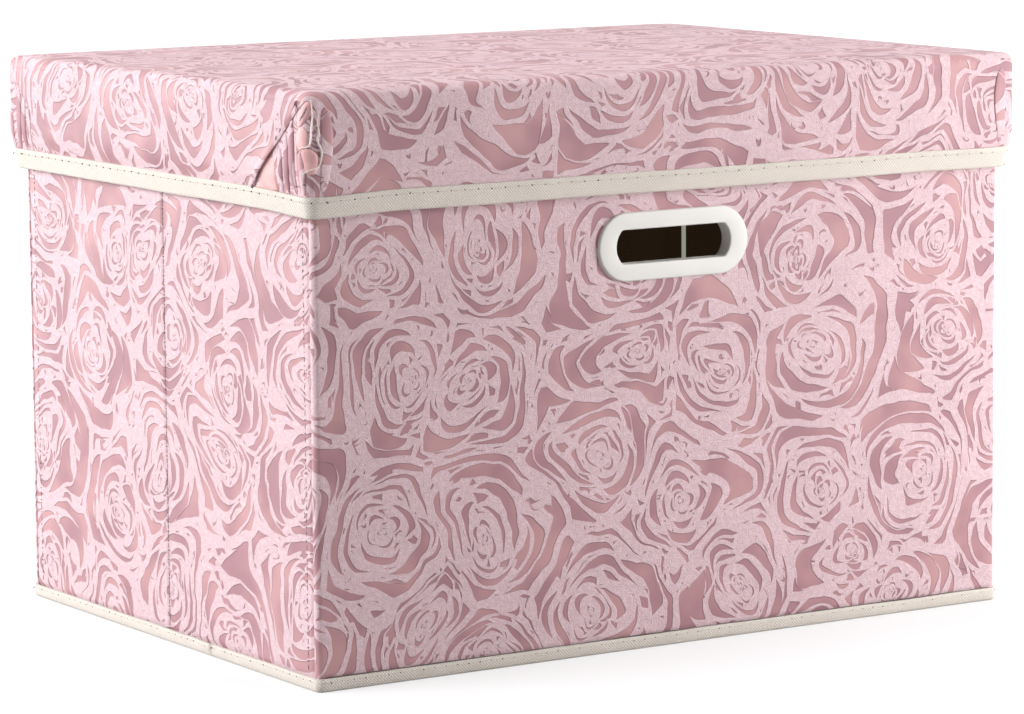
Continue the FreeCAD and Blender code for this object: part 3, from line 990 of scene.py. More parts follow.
def patch(corners4, lift, count=7):
    """Four-cornered patch, slightly domed."""
    (a0, b0), (a1, b1), (a2, b2), (a3, b3) = corners4
    rows = []
    for i in range(count + 1):
        v = i / count
        row = []
        for j in range(count + 1):
            u = j / count
            a = (a0 * (1 - u) + a1 * u) * (1 - v) + (a3 * (1 - u) + a2 * u) * v
            b = (b0 * (1 - u) + b1 * u) * (1 - v) + (b3 * (1 - u) + b2 * u) * v
            row.append((a, b, lift + 0.25 * math.sin(math.pi * u) * math.sin(math.pi * v)))
        rows.append(row)
    return rows


print("strip and patch tools ready")

# %% Folds at the lid's corners
corner_shapes = {
    "lid_corner_folds": (0.35, [
        strip([(-27, 287), (-26, 275), (-27.5, 262)], 5.5, 0.9),
        strip([(-20.5, 294), (-19.5, 278), (-21, 262)], 6.0, 1.0),
        strip([(-13.5, 302), (-14, 282), (-12.5, 262)], 6.5, 1.1),
        strip([(-4.5, 286), (-4, 274), (-5, 262)], 6.5, 1.0),
        strip([(9.5, 308), (11, 290), (9, 263)], 8.0, 0.7)]),
    "lid_corner_reverse": (0.25, [
        patch([(-56, 261), (-31, 261), (-31, 281), (-42, 281)], 0.15),
        strip([(-2.5, 297.5), (-4, 291), (-3, 285)], 9.5, 0.5, 0.35),
        strip([(-2.5, 286), (1.5, 280), (0.5, 273)], 9.0, 0.5, 0.45),
        strip([(1.5, 311), (-1.5, 305), (-6.5, 298)], 6.0, 0.5, 0.35),
        strip([(-8.3, 299), (-8.6, 282), (-8, 262)], 1.2, 0.3)]),
    "lid_corner_edges": (0.3, [
        strip([(1.8, 312), (2.6, 304), (2.0, 297), (1.6, 291), (0.6, 288), (-3, 287), (-8, 284.5)],
              1.0, 0.6, 0.75),
        strip([(6.5, 306), (5.0, 301), (5.9, 295), (5.0, 291), (7.4, 285), (6.4, 279), (4, 276.5),
               (1, 275.5), (-5, 272)], 1.1, 0.6, 0.75)]),
    "lid_corner_threads": (0.2, [
        strip([(-7, 311.5), (-8, 310), (-9, 308.5)], 1.3, 0.8, 0.9),
        strip([(-8, 311), (-7.4, 308.5), (-6.2, 306.5)], 0.7, 0.4, 0.6),
        strip([(-9, 309), (-16, 301.5), (-25, 293), (-30, 288.5)], 0.8, 0.4, 0.95),
        strip([(-21.6, 296.6), (-25, 293.3)], 1.9, 0.7, 1.0),
        strip([(-26, 292.3), (-29.6, 288.8)], 2.4, 0.7, 1.0),
        strip([(-40, 279.6), (-43, 277)], 2.0, 0.6, 1.6),
        strip([(0.2, 309), (-1.6, 305), (-4.6, 300.5)], 1.3, 0.4, 0.65),
        strip([(-57, 263.4), (-59, 262)], 2.0, 0.9, 1.0)])}
corner_pieces = {}
for name, (thickness, shapes) in corner_shapes.items():
    spots = CORNERS if name == "lid_corner_folds" else LOOSE_CORNERS
    grids = []
    for corner in spots:
        height = 1.0 if corner in LOOSE_CORNERS else CALM_CORNER
        for shape in shapes:
            calmed = [[(a, b, c * height) for a, b, c in row] for row in shape]
            grids.append(corner_grid(calmed, corner))
    corner_pieces[name] = sheet_piece(name, grids, thickness * MM)
print("corner pieces:", {name: len(piece.data.polygons) for name, piece in corner_pieces.items()})

# %% [markdown]
# The hem of the lid is bound with the same woven tape, wider than at the base. It could be a
# plain swept band, but cloth pulls it. So the sweep follows the hem's taper outside and inside
# and sags a little at the front left corner.

# %% Lid tape
HEM_TAPE = 0.6 * MM
HEM_ROUND = 1.4 * MM
HEM_CLEARANCE = 1.4 * MM
HEM_LEAN = 1.6 * MM
hem_height = hem_top - hem_bottom


def cover_out(z):
    """Outward offset of the lid's cover from the box's footprint at a height."""
    return lid_side - hem_taper(z)


def hem_section():
    """Section of the hem tape: up the outside, round the fold, up the inside."""
    outer = []
    inner = []
    steps = 6
    for index in range(steps + 1):
        z = hem_top - (hem_height - HEM_ROUND) * index / steps
        bulge = 0.55 * MM * math.sin(math.pi * (index + 0.6) / (steps + 1.2))
        outer.append((cover_out(z) + 0.75 * MM + bulge, z))
        inner.append((cover_out(z) + 0.1 * MM, z))
    fold_out = outer[-1][0]
    middle = (fold_out + HEM_CLEARANCE) / 2
    reach = (fold_out - HEM_CLEARANCE) / 2
    fold_z = hem_bottom + HEM_ROUND
    for index in range(1, steps):
        angle = math.pi * index / steps
        outer.append((middle + reach * math.cos(angle), fold_z - HEM_ROUND * math.sin(angle)))
        inner.append((middle + (reach - HEM_TAPE) * math.cos(angle),
                      fold_z - (HEM_ROUND - HEM_TAPE) * math.sin(angle)))
    for index in range(steps + 1):
        z = fold_z + (hem_height - HEM_ROUND) * index / steps
        rise = (z - hem_bottom) / (skirt_board_bottom - hem_bottom)
        outer.append((HEM_CLEARANCE + HEM_LEAN * rise, z))
        inner.append((HEM_CLEARANCE + HEM_LEAN * rise + HEM_TAPE, z))
    return folded_section(outer, inner, HEM_TAPE)


def hem_shift(place, outward, distance, across):
    """Dips the tape at the front left corner and makes it a little uneven."""
    corner = math.hypot(place.x + lid_half_x, place.y + lid_half_y)
    dip = 1.6 * MM * (1 - smooth(0, 60 * MM, corner))
    sway = 0.5 * MM * wave(distance, 0, 70 * MM, 81.0)
    return place + Vector((0, 0, sway - dip)) + outward * 0.3 * MM * wave(distance, 0, 30 * MM, 85.0)


hem_path = rounded_path(half_width, half_depth, 0.8 * MM, 5 * MM, corner_segments=10, skin=5 * MM)
lid_tape_cloth = sweep("lid_tape_cloth", hem_path, hem_section(), True, hem_shift)
print("lid tape:", len(lid_tape_cloth.data.polygons), "faces")

# %% [markdown]
# The lid's lining covers the inside of its boards. Five planes would meet in open edges. One grid
# goes up the inside of the skirt and on over the top, in rings that shrink to its middle, so the
# lining is one piece of cloth.

# %% Lid lining
LID_LINING_PULL = 1.7 * MM


def lid_lining_piece():
    """Lining inside the lid: a skirt all round and a flat top."""
    half_x = lid_lining_high.x - 0.7 * MM
    half_y = lid_lining_high.y - 0.7 * MM
    top = lid_lining_high.z - 0.1 * MM
    bottom = hem_low_cover + 0.2 * MM
    rows = []
    path = rounded_path(half_x, half_y, 3 * MM, LINING_STEP)
    path.append(path[0][:4] + (path[-1][4],))
    for z in stations(bottom, top, 8 * MM):
        pull = LID_LINING_PULL * (1 - smooth(hem_low_cover, skirt_board_bottom, z))
        rows.append([(Vector((x - nx * pull, y - ny * pull, z)), (s, z)) for x, y, nx, ny, s in path])
    flat = []
    for share in (1.0, 0.75, 0.5, 0.25, 0.0):
        flat.append([(Vector((x * share, y * share, top)), (x * share, y * share))
                     for x, y, nx, ny, s in path])
    bm = bmesh.new()
    add_grid(bm, rows + flat[1:])
    close_up(bm)
    return thicken(add_piece("lid_lining_cloth", mesh_of("lid_lining_cloth", bm)), LINING_CLOTH)


lid_lining_cloth = lid_lining_piece()
print("lid lining:", len(lid_lining_cloth.data.polygons), "faces")

# %% [markdown]
# The grip is moulded plastic: a flange with a soft edge, a slot whose mouth is chamfered, and a
# tunnel through the wall. A Boolean slot with a Bevel modifier leaves uneven faces, which show as
# marks on satin plastic. So its skin is a stack of outlines with the same number of points, each
# at its own depth, joined by quads.

# %% Outlines of a grip
EDGE_ROUND = 1.1 * MM
MOUTH_ROUND = 0.8 * MM
ROUND_STEPS = 5
OUTLINE_POINTS = 240
flange_thickness = -grip_low.y - half_depth


def resampled(outline, count):
    """The outline again with evenly spaced points, starting at its right end."""
    closed = outline + outline[:1]
    lengths = [0.0]
    for (x0, z0), (x1, z1) in zip(closed, closed[1:]):
        lengths.append(lengths[-1] + math.hypot(x1 - x0, z1 - z0))
    points = []
    segment = 0
    for index in range(count):
        target = lengths[-1] * index / count
        while lengths[segment + 1] < target:
            segment += 1
        span = lengths[segment + 1] - lengths[segment]
        share = (target - lengths[segment]) / span if span else 0
        (x0, z0), (x1, z1) = closed[segment], closed[segment + 1]
        points.append((x0 + (x1 - x0) * share, z0 + (z1 - z0) * share))
    return points


flange = resampled(oval(grip_length, grip_height, grip_height / 2), OUTLINE_POINTS)
print("right end of the flange: %.1f mm from its middle" % (1000 * flange[0][0]))

# %% Moulded grips
def grip_piece(name, sign):
    """The outer half of a grip in the front (sign -1) or back (sign 1) wall."""
    face = -half_depth - flange_thickness
    inner_end = grip_high.y

    def flange_outline(shrink):
        """Outline of the flange, drawn in on all sides."""
        return resampled(oval(grip_length - 2 * shrink, grip_height - 2 * shrink,
                              grip_height / 2 - shrink), OUTLINE_POINTS)

    def slot_outline(grow):
        """Outline of the slot, opened on all sides."""
        return resampled(oval(SLOT_LENGTH + 2 * grow, SLOT_HEIGHT + 2 * grow,
                              SLOT_END_RADIUS + grow, 2.5 * MM + grow), OUTLINE_POINTS)

    rings = [(slot_outline(TUNNEL_WALL), inner_end),
             (slot_outline(TUNNEL_WALL), -half_depth + 0.1 * MM),
             (flange_outline(0.3 * MM), -half_depth + 0.05 * MM),
             (flange_outline(0.0), -half_depth - 0.2 * MM),
             (flange_outline(0.0), face + EDGE_ROUND)]
    for index in range(1, ROUND_STEPS + 1):
        angle = math.pi / 2 * index / ROUND_STEPS
        rings.append((flange_outline(EDGE_ROUND * (1 - math.cos(angle))),
                      face + EDGE_ROUND * (1 - math.sin(angle))))
    for index in range(ROUND_STEPS + 1):
        angle = math.pi / 2 * index / ROUND_STEPS
        rings.append((slot_outline(MOUTH_ROUND * (1 - math.sin(angle))),
                      face + MOUTH_ROUND * (1 - math.cos(angle))))
    rings.append((slot_outline(0.0), inner_end - 0.4 * MM))
    rings.append((slot_outline(0.3 * MM), inner_end))
    rows = []
    for outline, y in rings:
        rows.append([(Vector((x, y * -sign, grip_centre_z + z)), (x, z)) for x, z in outline])
    rows.append(rows[0])
    bm = bmesh.new()
    add_grid(bm, rows, closed=True)
    close_up(bm, 0.01 * MM)
    mesh = mesh_of(name, bm)
    mesh.set_sharp_from_angle(angle=math.radians(35))
    return add_piece(name, mesh)


front_grip = grip_piece("front_grip_shell", -1)
back_grip = grip_piece("back_grip_shell", 1)
print("grip:", len(front_grip.data.polygons), "faces")

# %% [markdown]
# The finishes are node materials. The trees could be drawn by hand in the Shader Editor, but a
# script can be read and run again. A small class keeps the code short: it adds a node, sets its
# inputs from numbers or other sockets, and returns the output. Effects that several materials
# share become node groups with named inputs and outputs.

# %% Tools for node trees
class Nodes:
    """Short ways to add nodes to a tree and to join them."""

    def __init__(self, tree):
        self.tree = tree

    def put(self, socket, value):
        """Links an output to a socket, or sets the socket's value."""
        if isinstance(value, bpy.types.NodeSocket):
            self.tree.links.new(value, socket)
        else:
            socket.default_value = value

    def add(self, kind, inputs=None, **settings):
        """A new node with its inputs by name and its settings."""
        node = self.tree.nodes.new(kind)
        for name, value in settings.items():
            setattr(node, name, value)
        for key, value in (inputs or {}).items():
            self.put(node.inputs[key], value)
        return node

    def math(self, operation, *values):
        """A sum, a product or another operation on numbers."""
        node = self.tree.nodes.new("ShaderNodeMath")
        node.operation = operation
        for index, value in enumerate(values):
            self.put(node.inputs[index], value)
        return node.outputs[0]

    def vector(self, operation, *values, scale=None):
        """The same for vectors."""
        node = self.tree.nodes.new("ShaderNodeVectorMath")
        node.operation = operation
        for index, value in enumerate(values):
            self.put(node.inputs[index], value)
        if scale is not None:
            self.put(node.inputs["Scale"], scale)
        return node.outputs["Value" if operation == "LENGTH" else "Vector"]

    def step(self, low, high, value):
        """0 below low, 1 above high and a soft step between."""
        node = self.add("ShaderNodeMapRange", {"Value": value, "From Min": low, "From Max": high},
                        interpolation_type="SMOOTHSTEP")
        return node.outputs["Result"]

    def noise(self, vector, scale, detail=2.0):
        """A noise texture node."""
        return self.add("ShaderNodeTexNoise", {"Vector": vector, "Scale": scale, "Detail": detail})

    def mix(self, factor, first, second):
        """The first colour at 0, the second at 1."""
        node = self.add("ShaderNodeMix", data_type="RGBA")
        for index, value in ((0, factor), (6, first), (7, second)):
            self.put(node.inputs[index], value)
        return node.outputs[2]

    def dice(self, x, y, z):
        """Three random numbers that depend on three inputs."""
        place = self.add("ShaderNodeCombineXYZ", {"X": x, "Y": y, "Z": z}).outputs[0]
        throw = self.add("ShaderNodeTexWhiteNoise", {"Vector": place}, noise_dimensions="3D")
        split = self.add("ShaderNodeSeparateColor", {"Color": throw.outputs["Color"]})
        return split.outputs["Red"], split.outputs["Green"], split.outputs["Blue"]

    def group(self, tree, **inputs):
        """Places a node group, with its inputs by name (a _ stands for a space)."""
        node = self.add("ShaderNodeGroup", node_tree=tree)
        for key, value in inputs.items():
            self.put(node.inputs[key.replace("_", " ")], value)
        return node.outputs


def new_group(name, inputs, outputs):
    """A node group with named float inputs (and a Place vector) and float outputs."""
    tree = bpy.data.node_groups.new(name, "ShaderNodeTree")
    tree.interface.new_socket("Place", in_out="INPUT", socket_type="NodeSocketVector")
    for label, value in inputs.items():
        socket = tree.interface.new_socket(label, in_out="INPUT", socket_type="NodeSocketFloat")
        socket.default_value = value
    for label in outputs:
        tree.interface.new_socket(label, in_out="OUTPUT", socket_type="NodeSocketFloat")
    return Nodes(tree), tree.nodes.new("NodeGroupInput").outputs, tree.nodes.new("NodeGroupOutput").inputs


print("node tools ready")

# %% [markdown]
# The cloth is printed with roses: raised pale flock with darker smooth ground between the petals.
# An image would blur close up and show where it ends, so the pattern is computed. Each cell of a
# Voronoi pattern holds one rose. Round a cell's middle, rings of lens shaped gaps stand for the
# shadows between petals. A random throw for each ring and each petal sets how many petals there
# are, and how wide and how slanted each gap is. Towards its edge a ring takes on the outline of
# its cell, so neighbouring roses fit into each other. Smaller buds put slits into the blank
# places between the big gaps.

# %% Gaps between the petals of one rose
BUDS_PER_ROSE = 2.3


def rose_gaps(n, share, turn, seed, rings, gap):
    """Above 0 inside a dark gap between petals. turn is the direction as a share of a circle."""
    along_radius = n.math("MULTIPLY", n.math("POWER", share, 0.86), rings)
    ring = n.math("FLOOR", along_radius)
    inside = n.math("FRACT", along_radius)
    ring_throw = n.dice(seed, ring, 1.0)
    count = n.math("ROUND", n.math("MULTIPLY_ADD", ring_throw[0], 2.4, 2.6))
    around = n.math("MULTIPLY_ADD", turn, count, n.math("MULTIPLY", ring_throw[1], 9.0))
    petal = n.math("FLOORED_MODULO", n.math("FLOOR", around), count)
    along = n.math("FRACT", around)
    throw = n.dice(n.math("ADD", seed, petal), ring, 5.0)
    lens = n.math("SINE", n.math("MULTIPLY", along, math.pi))
    lens = n.math("MAXIMUM", n.math("MULTIPLY_ADD", lens, 1.35, -0.35), 0.0)
    lens = n.math("POWER", lens, 0.8)
    wide = n.math("MULTIPLY", n.math("MULTIPLY_ADD", throw[0], 1.0, 0.45), gap)
    wide = n.math("MULTIPLY", wide, n.math("MULTIPLY_ADD", share, 1.15, 0.10))
    centred = n.math("SUBTRACT", along, 0.5)
    slant = n.math("MULTIPLY", n.math("SUBTRACT", throw[1], 0.5), 1.1)
    middle = n.math("MULTIPLY_ADD", centred, slant, 0.5)
    bow = n.math("MULTIPLY", n.math("MULTIPLY", centred, centred), 1.5)
    middle = n.math("SUBTRACT", middle, bow)
    off = n.math("ABSOLUTE", n.math("SUBTRACT", inside, middle))
    return n.math("SUBTRACT", n.math("MULTIPLY", n.math("MULTIPLY", lens, wide), 0.5), off)


print("buds for each rose:", BUDS_PER_ROSE)

# %% Rose pattern group
def rose_layer(n, spot, rings, gap):
    """One rose in each cell round spot. Returns the way to the cell's edge, and the rose's gaps."""
    cell = {}
    for feature in ("F1", "DISTANCE_TO_EDGE"):
        node = n.add("ShaderNodeTexVoronoi", {"Vector": spot, "Scale": 1.0, "Randomness": 0.72},
                     voronoi_dimensions="2D", feature=feature)
        cell[feature] = node.outputs
    edge = cell["DISTANCE_TO_EDGE"]["Distance"]
    away = n.vector("SUBTRACT", spot, cell["F1"]["Position"])
    split = n.add("ShaderNodeSeparateXYZ", {"Vector": away}).outputs
    turn = n.math("DIVIDE", n.math("ARCTAN2", split["Y"], split["X"]), 2 * math.pi)
    radius = n.vector("LENGTH", away)
    throw = n.add("ShaderNodeSeparateColor", {"Color": cell["F1"]["Color"]}).outputs
    seed = n.math("MULTIPLY", throw["Red"], 37.0)
    evened = n.math("DIVIDE", radius, n.math("ADD", radius, edge))
    share = n.math("MULTIPLY_ADD", evened, 0.45, n.math("MULTIPLY", radius, 0.98))
    return edge, rose_gaps(n, share, turn, seed, rings, gap)


def rose_pattern_group():
    """Flock: 1 on the raised petals and 0 in the gaps between them."""
    n, given, result = new_group("rose_pattern", {"Rose Size": 0.062, "Rings": 6.0, "Gap": 0.8},
                                 ("Flock",))
    cells = n.vector("SCALE", given["Place"], scale=n.math("DIVIDE", 1.0, given["Rose Size"]))
    spot = cells
    for scale, reach in ((1.1, 0.5), (3.0, 0.13), (9.0, 0.028)):
        shift = n.vector("SUBTRACT", n.noise(cells, scale, 0.0).outputs["Color"], (0.5, 0.5, 0.5))
        spot = n.vector("ADD", spot, n.vector("SCALE", shift, scale=reach))
    spot = n.vector("MULTIPLY", spot, (1.0, 1.0, 0.0))
    edge, depth = rose_layer(n, spot, given["Rings"], given["Gap"])
    border = n.math("MULTIPLY", n.math("SUBTRACT", edge, 0.035), 8.0)
    dark = n.step(-0.02, 0.04, n.math("MINIMUM", depth, border))
    buds = rose_layer(n, n.vector("SCALE", spot, scale=BUDS_PER_ROSE), 1.5, 0.42)[1]
    blank = n.step(0.25, 0.33, n.math("MULTIPLY", depth, -1.0))
    slits = n.math("MULTIPLY", n.step(-0.02, 0.05, buds), blank)
    n.put(result["Flock"], n.math("SUBTRACT", 1.0, n.math("MAXIMUM", dark, slits)))
    return n.tree


rose_pattern = rose_pattern_group()
print("rose pattern:", len(rose_pattern.nodes), "nodes")

# %% [markdown]
# Two more groups are shared. Fibre grain is the fine speckle of felted or flocked cloth. Weave is
# a plain weave of crossing threads, used on the tapes. Real threads could be modelled, but at
# this size they are thinner than a pixel. So the weave is a height and a tone for each thread, at
# a real thread pitch.

# %% Grain and weave groups
def fibre_grain_group():
    """Values round 0.5. Grain: fine speckle. Streak: brushed spots. Blotch: large soft patches."""
    n, given, result = new_group("fibre_grain", {"Fibre Size": 0.0008, "Patch Size": 0.03},
                                 ("Grain", "Streak", "Blotch"))
    fine = n.noise(given["Place"], n.math("DIVIDE", 1.0, given["Fibre Size"]), 4.0)
    streak = n.noise(given["Place"], n.math("DIVIDE", 0.3, given["Fibre Size"]), 5.0)
    patch = n.noise(given["Place"], n.math("DIVIDE", 1.0, given["Patch Size"]), 2.0)
    n.put(result["Grain"], fine.outputs["Fac"])
    n.put(result["Streak"], streak.outputs["Fac"])
    n.put(result["Blotch"], patch.outputs["Fac"])
    return n.tree


def weave_group():
    """Height of a plain weave, and Thread, a random value for each thread."""
    n, given, result = new_group("weave", {"Pitch": 0.0011}, ("Height", "Thread"))
    shift = n.vector("SCALE", n.noise(given["Place"], 260.0, 1.0).outputs["Color"], scale=0.00035)
    grid = n.vector("SCALE", n.vector("ADD", given["Place"], shift),
                    scale=n.math("DIVIDE", 1.0, given["Pitch"]))
    split = n.add("ShaderNodeSeparateXYZ", {"Vector": grid}).outputs
    over = []
    for first, second in (("X", "Y"), ("Y", "X")):
        crown = n.math("ABSOLUTE", n.math("SINE", n.math("MULTIPLY", split[first], math.pi)))
        phase = n.math("ADD", split[second], n.math("FLOOR", split[first]))
        float_up = n.math("MULTIPLY_ADD", n.math("SINE", n.math("MULTIPLY", phase, math.pi)), 0.5, 0.5)
        over.append(n.math("MULTIPLY", crown, float_up))
    n.put(result["Height"], n.math("MAXIMUM", *over))
    cell = n.dice(n.math("FLOOR", split["X"]), n.math("FLOOR", split["Y"]), 2.0)
    n.put(result["Thread"], cell[0])
    return n.tree


fibre_grain = fibre_grain_group()
weave = weave_group()
print("groups:", fibre_grain.name, weave.name)

# %% [markdown]
# Every finish starts from the Principled shader, which is one node for most real surfaces. Sheen
# stands for the soft pile of cloth, and a Bump node turns a height into relief. Displacement
# would move real points, but the grids are too coarse for it. So three helpers set up a material,
# its painted glow and its relief.

# %% Tools for materials
def new_material(name, sheen=0.0, sheen_colour=(1, 1, 1), specular=0.5):
    """A Principled material and its Nodes helper. Returns (material, nodes, shader)."""
    material = bpy.data.materials.new(name)
    material.use_nodes = True
    shader = material.node_tree.nodes["Principled BSDF"]
    shader.inputs["Sheen Weight"].default_value = sheen
    shader.inputs["Sheen Roughness"].default_value = 0.5
    shader.inputs["Sheen Tint"].default_value = (*sheen_colour, 1)
    shader.inputs["Specular IOR Level"].default_value = specular
    return material, Nodes(material.node_tree), shader


def paint_glow(shader, colour, strength):
    """Painted light: a small constant glow of the cloth, standing for light that no lamp brings to it."""
    shader.inputs["Emission Color"].default_value = (*colour, 1)
    shader.inputs["Emission Strength"].default_value = strength


def bump(n, shader, height, distance):
    """Relief from a height in 0 to 1, where distance is its real depth."""
    node = n.add("ShaderNodeBump", {"Height": height, "Distance": distance, "Strength": 1.0})
    n.put(shader.inputs["Normal"], node.outputs["Normal"])


print("material tools ready")

# %% [markdown]
# Rose cloth. The flock is pale, soft and matt with a slight sheen. The ground between the petals
# is a darker, smoother film. Two materials could be given to the faces, but the petals are finer
# than the grid. So one material mixes both by the pattern, which drives colour, roughness and
# relief together, and the grain breaks all three up.

# %% Rose cloth material
ROSE_SIZE = 69 * MM
ROSE_RELIEF = 0.6 * MM
FLOCK_DEEP = (0.655, 0.445, 0.480, 1)
FLOCK_PALE = (0.795, 0.620, 0.658, 1)
GROUND_DEEP = (0.385, 0.195, 0.220, 1)
GROUND_WARM = (0.520, 0.282, 0.290, 1)


def rose_material():
    """Printed and embossed cloth: pale pile on the petals, smooth film between them."""
    material, n, shader = new_material("rose_cloth", sheen=0.06, sheen_colour=(1.0, 0.93, 0.95),
                                       specular=0.32)
    place = n.add("ShaderNodeUVMap", uv_map=CLOTH_MAP).outputs["UV"]
    roses = n.group(rose_pattern, Place=place, Rose_Size=ROSE_SIZE, Rings=5.5, Gap=0.86)
    fibre = n.group(fibre_grain, Place=place, Fibre_Size=0.00085, Patch_Size=0.035)
    speck = n.step(0.36, 0.66, fibre["Grain"])
    brushed = n.step(0.40, 0.66, fibre["Streak"])
    pile = n.math("MULTIPLY_ADD", speck, 0.62, n.math("MULTIPLY", brushed, 0.38))
    flock = n.mix(pile, FLOCK_DEEP, FLOCK_PALE)
    ground = n.mix(n.step(0.35, 0.7, fibre["Blotch"]), GROUND_DEEP, GROUND_WARM)
    colour = n.mix(roses["Flock"], ground, flock)
    shade = n.math("MULTIPLY_ADD", fibre["Blotch"], 0.16, 0.92)
    n.put(shader.inputs["Base Color"], n.vector("SCALE", colour, scale=shade))
    rough = n.math("MULTIPLY_ADD", roses["Flock"], 0.36, 0.52)
    n.put(shader.inputs["Roughness"], n.math("MULTIPLY_ADD", speck, 0.08, rough))
    height = n.math("MULTIPLY", roses["Flock"], n.math("MULTIPLY_ADD", pile, 0.35, 0.65))
    bump(n, shader, n.math("MULTIPLY_ADD", fibre["Grain"], 0.05, height), ROSE_RELIEF)
    return material


rose = rose_material()
print("rose cloth:", len(rose.node_tree.nodes), "nodes")

# %% [markdown]
# The lining is a plain dark non-woven with embossed dots. The tape is a cream weave whose threads
# vary a little. Daylight behind the thin inner seam tapes shines through them a little, and some
# light reaches the inside of the closed box. Light paths through every layer of cloth would take
# long to compute, so a constant painted glow stands for it, faint on the lining and more on the tapes.

# %% Lining and tape materials
# Painted light: glow strength and colour of the lining and of the thin seam tapes.
LINING_GLOW, LINING_LIGHT = 0.011, (1.0, 0.56, 0.27)
SEAM_TAPE_GLOW, SEAM_TAPE_LIGHT = 0.29, (0.97, 1.0, 0.80)


def lining_material():
    """Dark non-woven cloth with pressed dots."""
    material, n, shader = new_material("lining_cloth", sheen=0.1, specular=0.3)
    # Painted light: a faint warm glow lifts the dark lining inside the closed box.
    paint_glow(shader, LINING_LIGHT, LINING_GLOW)
    place = n.add("ShaderNodeUVMap", uv_map=CLOTH_MAP).outputs["UV"]
    fibre = n.group(fibre_grain, Place=place, Fibre_Size=0.0011, Patch_Size=0.05)
    dots = n.add("ShaderNodeTexVoronoi", {"Vector": place, "Scale": 420.0, "Randomness": 0.12},
                 voronoi_dimensions="2D", feature="F1").outputs["Distance"]
    pressed = n.math("SUBTRACT", 1.0, n.step(0.18, 0.34, dots))
    cloth = n.mix(fibre["Grain"], (0.050, 0.036, 0.024, 1), (0.125, 0.095, 0.068, 1))
    cloth = n.mix(n.math("MULTIPLY", pressed, 0.55), cloth, (0.035, 0.026, 0.02, 1))
    n.put(shader.inputs["Base Color"], cloth)
    n.put(shader.inputs["Roughness"], n.math("MULTIPLY_ADD", pressed, -0.2, 0.9))
    height = n.math("MULTIPLY_ADD", pressed, -0.6, n.math("MULTIPLY", fibre["Grain"], 0.5))
    bump(n, shader, height, 0.25 * MM)
    return material


def tape_material(name, glow=0.0):
    """Woven tape. The thin one on the inner seams gets a painted glow for the light that it lets through.
    """
    material, n, shader = new_material(name, sheen=0.15, sheen_colour=(1.0, 0.97, 0.92))
    paint_glow(shader, SEAM_TAPE_LIGHT, glow)
    place = n.add("ShaderNodeUVMap", uv_map=CLOTH_MAP).outputs["UV"]
    woven = n.group(weave, Place=place, Pitch=0.0009)
    fibre = n.group(fibre_grain, Place=place, Fibre_Size=0.0006, Patch_Size=0.02)
    thread = n.mix(woven["Thread"], (0.79, 0.715, 0.645, 1), (0.87, 0.812, 0.758, 1))
    low = n.math("SUBTRACT", 1.0, n.step(0.15, 0.6, woven["Height"]))
    # The low places between the threads are painted darker: painted shade in the weave.
    colour = n.mix(n.math("MULTIPLY", low, 0.55), thread, (0.55, 0.47, 0.38, 1))
    colour = n.vector("SCALE", colour, scale=n.math("MULTIPLY_ADD", fibre["Blotch"], 0.10, 0.95))
    n.put(shader.inputs["Base Color"], colour)
    n.put(shader.inputs["Roughness"], n.math("MULTIPLY_ADD", low, 0.12, 0.78))
    bump(n, shader, n.math("MULTIPLY_ADD", fibre["Grain"], 0.2, woven["Height"]), 0.30 * MM)
    return material


lining = lining_material()
tape = tape_material("cream_tape")
# Painted light: the thin seam tape glows a little, for daylight that comes through it.
thin_tape = tape_material("thin_seam_tape", glow=SEAM_TAPE_GLOW)
print("cloths:", lining.name, tape.name, thin_tape.name)

# %% [markdown]
# The grip is satin moulded plastic with a faint moulding grain. The card is grey board with
# pressed fibres. The sewing thread is twisted, pale on the tapes and dark rose on the cloth, and
# darker versions of it are painted shade in the needle holes and painted shadow in the groove.
# The cloth's reverse side and its raw edge are a smooth film. Plain colours would do from afar,
# but close up a little grain in colour and relief tells the materials apart.

# %% Plastic, card and thread materials
def plastic_material():
    """Satin moulded plastic with a faint moulding grain."""
    material, n, shader = new_material("grip_plastic", specular=0.4)
    place = n.add("ShaderNodeTexCoord").outputs["Object"]
    fibre = n.group(fibre_grain, Place=place, Fibre_Size=0.0009, Patch_Size=0.02)
    colour = n.mix(fibre["Blotch"], (0.735, 0.708, 0.668, 1), (0.775, 0.750, 0.712, 1))
    n.put(shader.inputs["Base Color"], colour)
    n.put(shader.inputs["Roughness"], n.math("MULTIPLY_ADD", fibre["Grain"], 0.16, 0.34))
    bump(n, shader, fibre["Grain"], 0.02 * MM)
    return material


def card_material():
    """Grey board with long pressed fibres."""
    material, n, shader = new_material("grey_card", specular=0.3)
    place = n.add("ShaderNodeTexCoord").outputs["Object"]
    fibre = n.group(fibre_grain, Place=place, Fibre_Size=0.0014, Patch_Size=0.04)
    long_fibres = n.noise(n.vector("MULTIPLY", place, (0.25, 0.25, 1.0)), 900.0, 3.0).outputs["Fac"]
    colour = n.mix(long_fibres, (0.30, 0.28, 0.25, 1), (0.46, 0.44, 0.40, 1))
    colour = n.mix(n.math("MULTIPLY", fibre["Blotch"], 0.4), colour, (0.36, 0.34, 0.31, 1))
    n.put(shader.inputs["Base Color"], colour)
    n.put(shader.inputs["Roughness"], n.math("MULTIPLY_ADD", fibre["Grain"], 0.15, 0.82))
    bump(n, shader, long_fibres, 0.12 * MM)
    return material


def thread_material(name, dark, pale):
    """Twisted thread between two colours, also for the painted shade of needle holes and the painted
    shadow in the groove.
    """
    material, n, shader = new_material(name, sheen=0.2, specular=0.4)
    place = n.add("ShaderNodeTexCoord").outputs["Object"]
    twist = n.add("ShaderNodeTexWave", {"Vector": place, "Scale": 420.0, "Distortion": 1.5},
                  bands_direction="DIAGONAL").outputs["Fac"]
    n.put(shader.inputs["Base Color"], n.mix(twist, dark, pale))
    n.put(shader.inputs["Roughness"], n.math("MULTIPLY_ADD", twist, 0.15, 0.65))
    bump(n, shader, twist, 0.08 * MM)
    return material


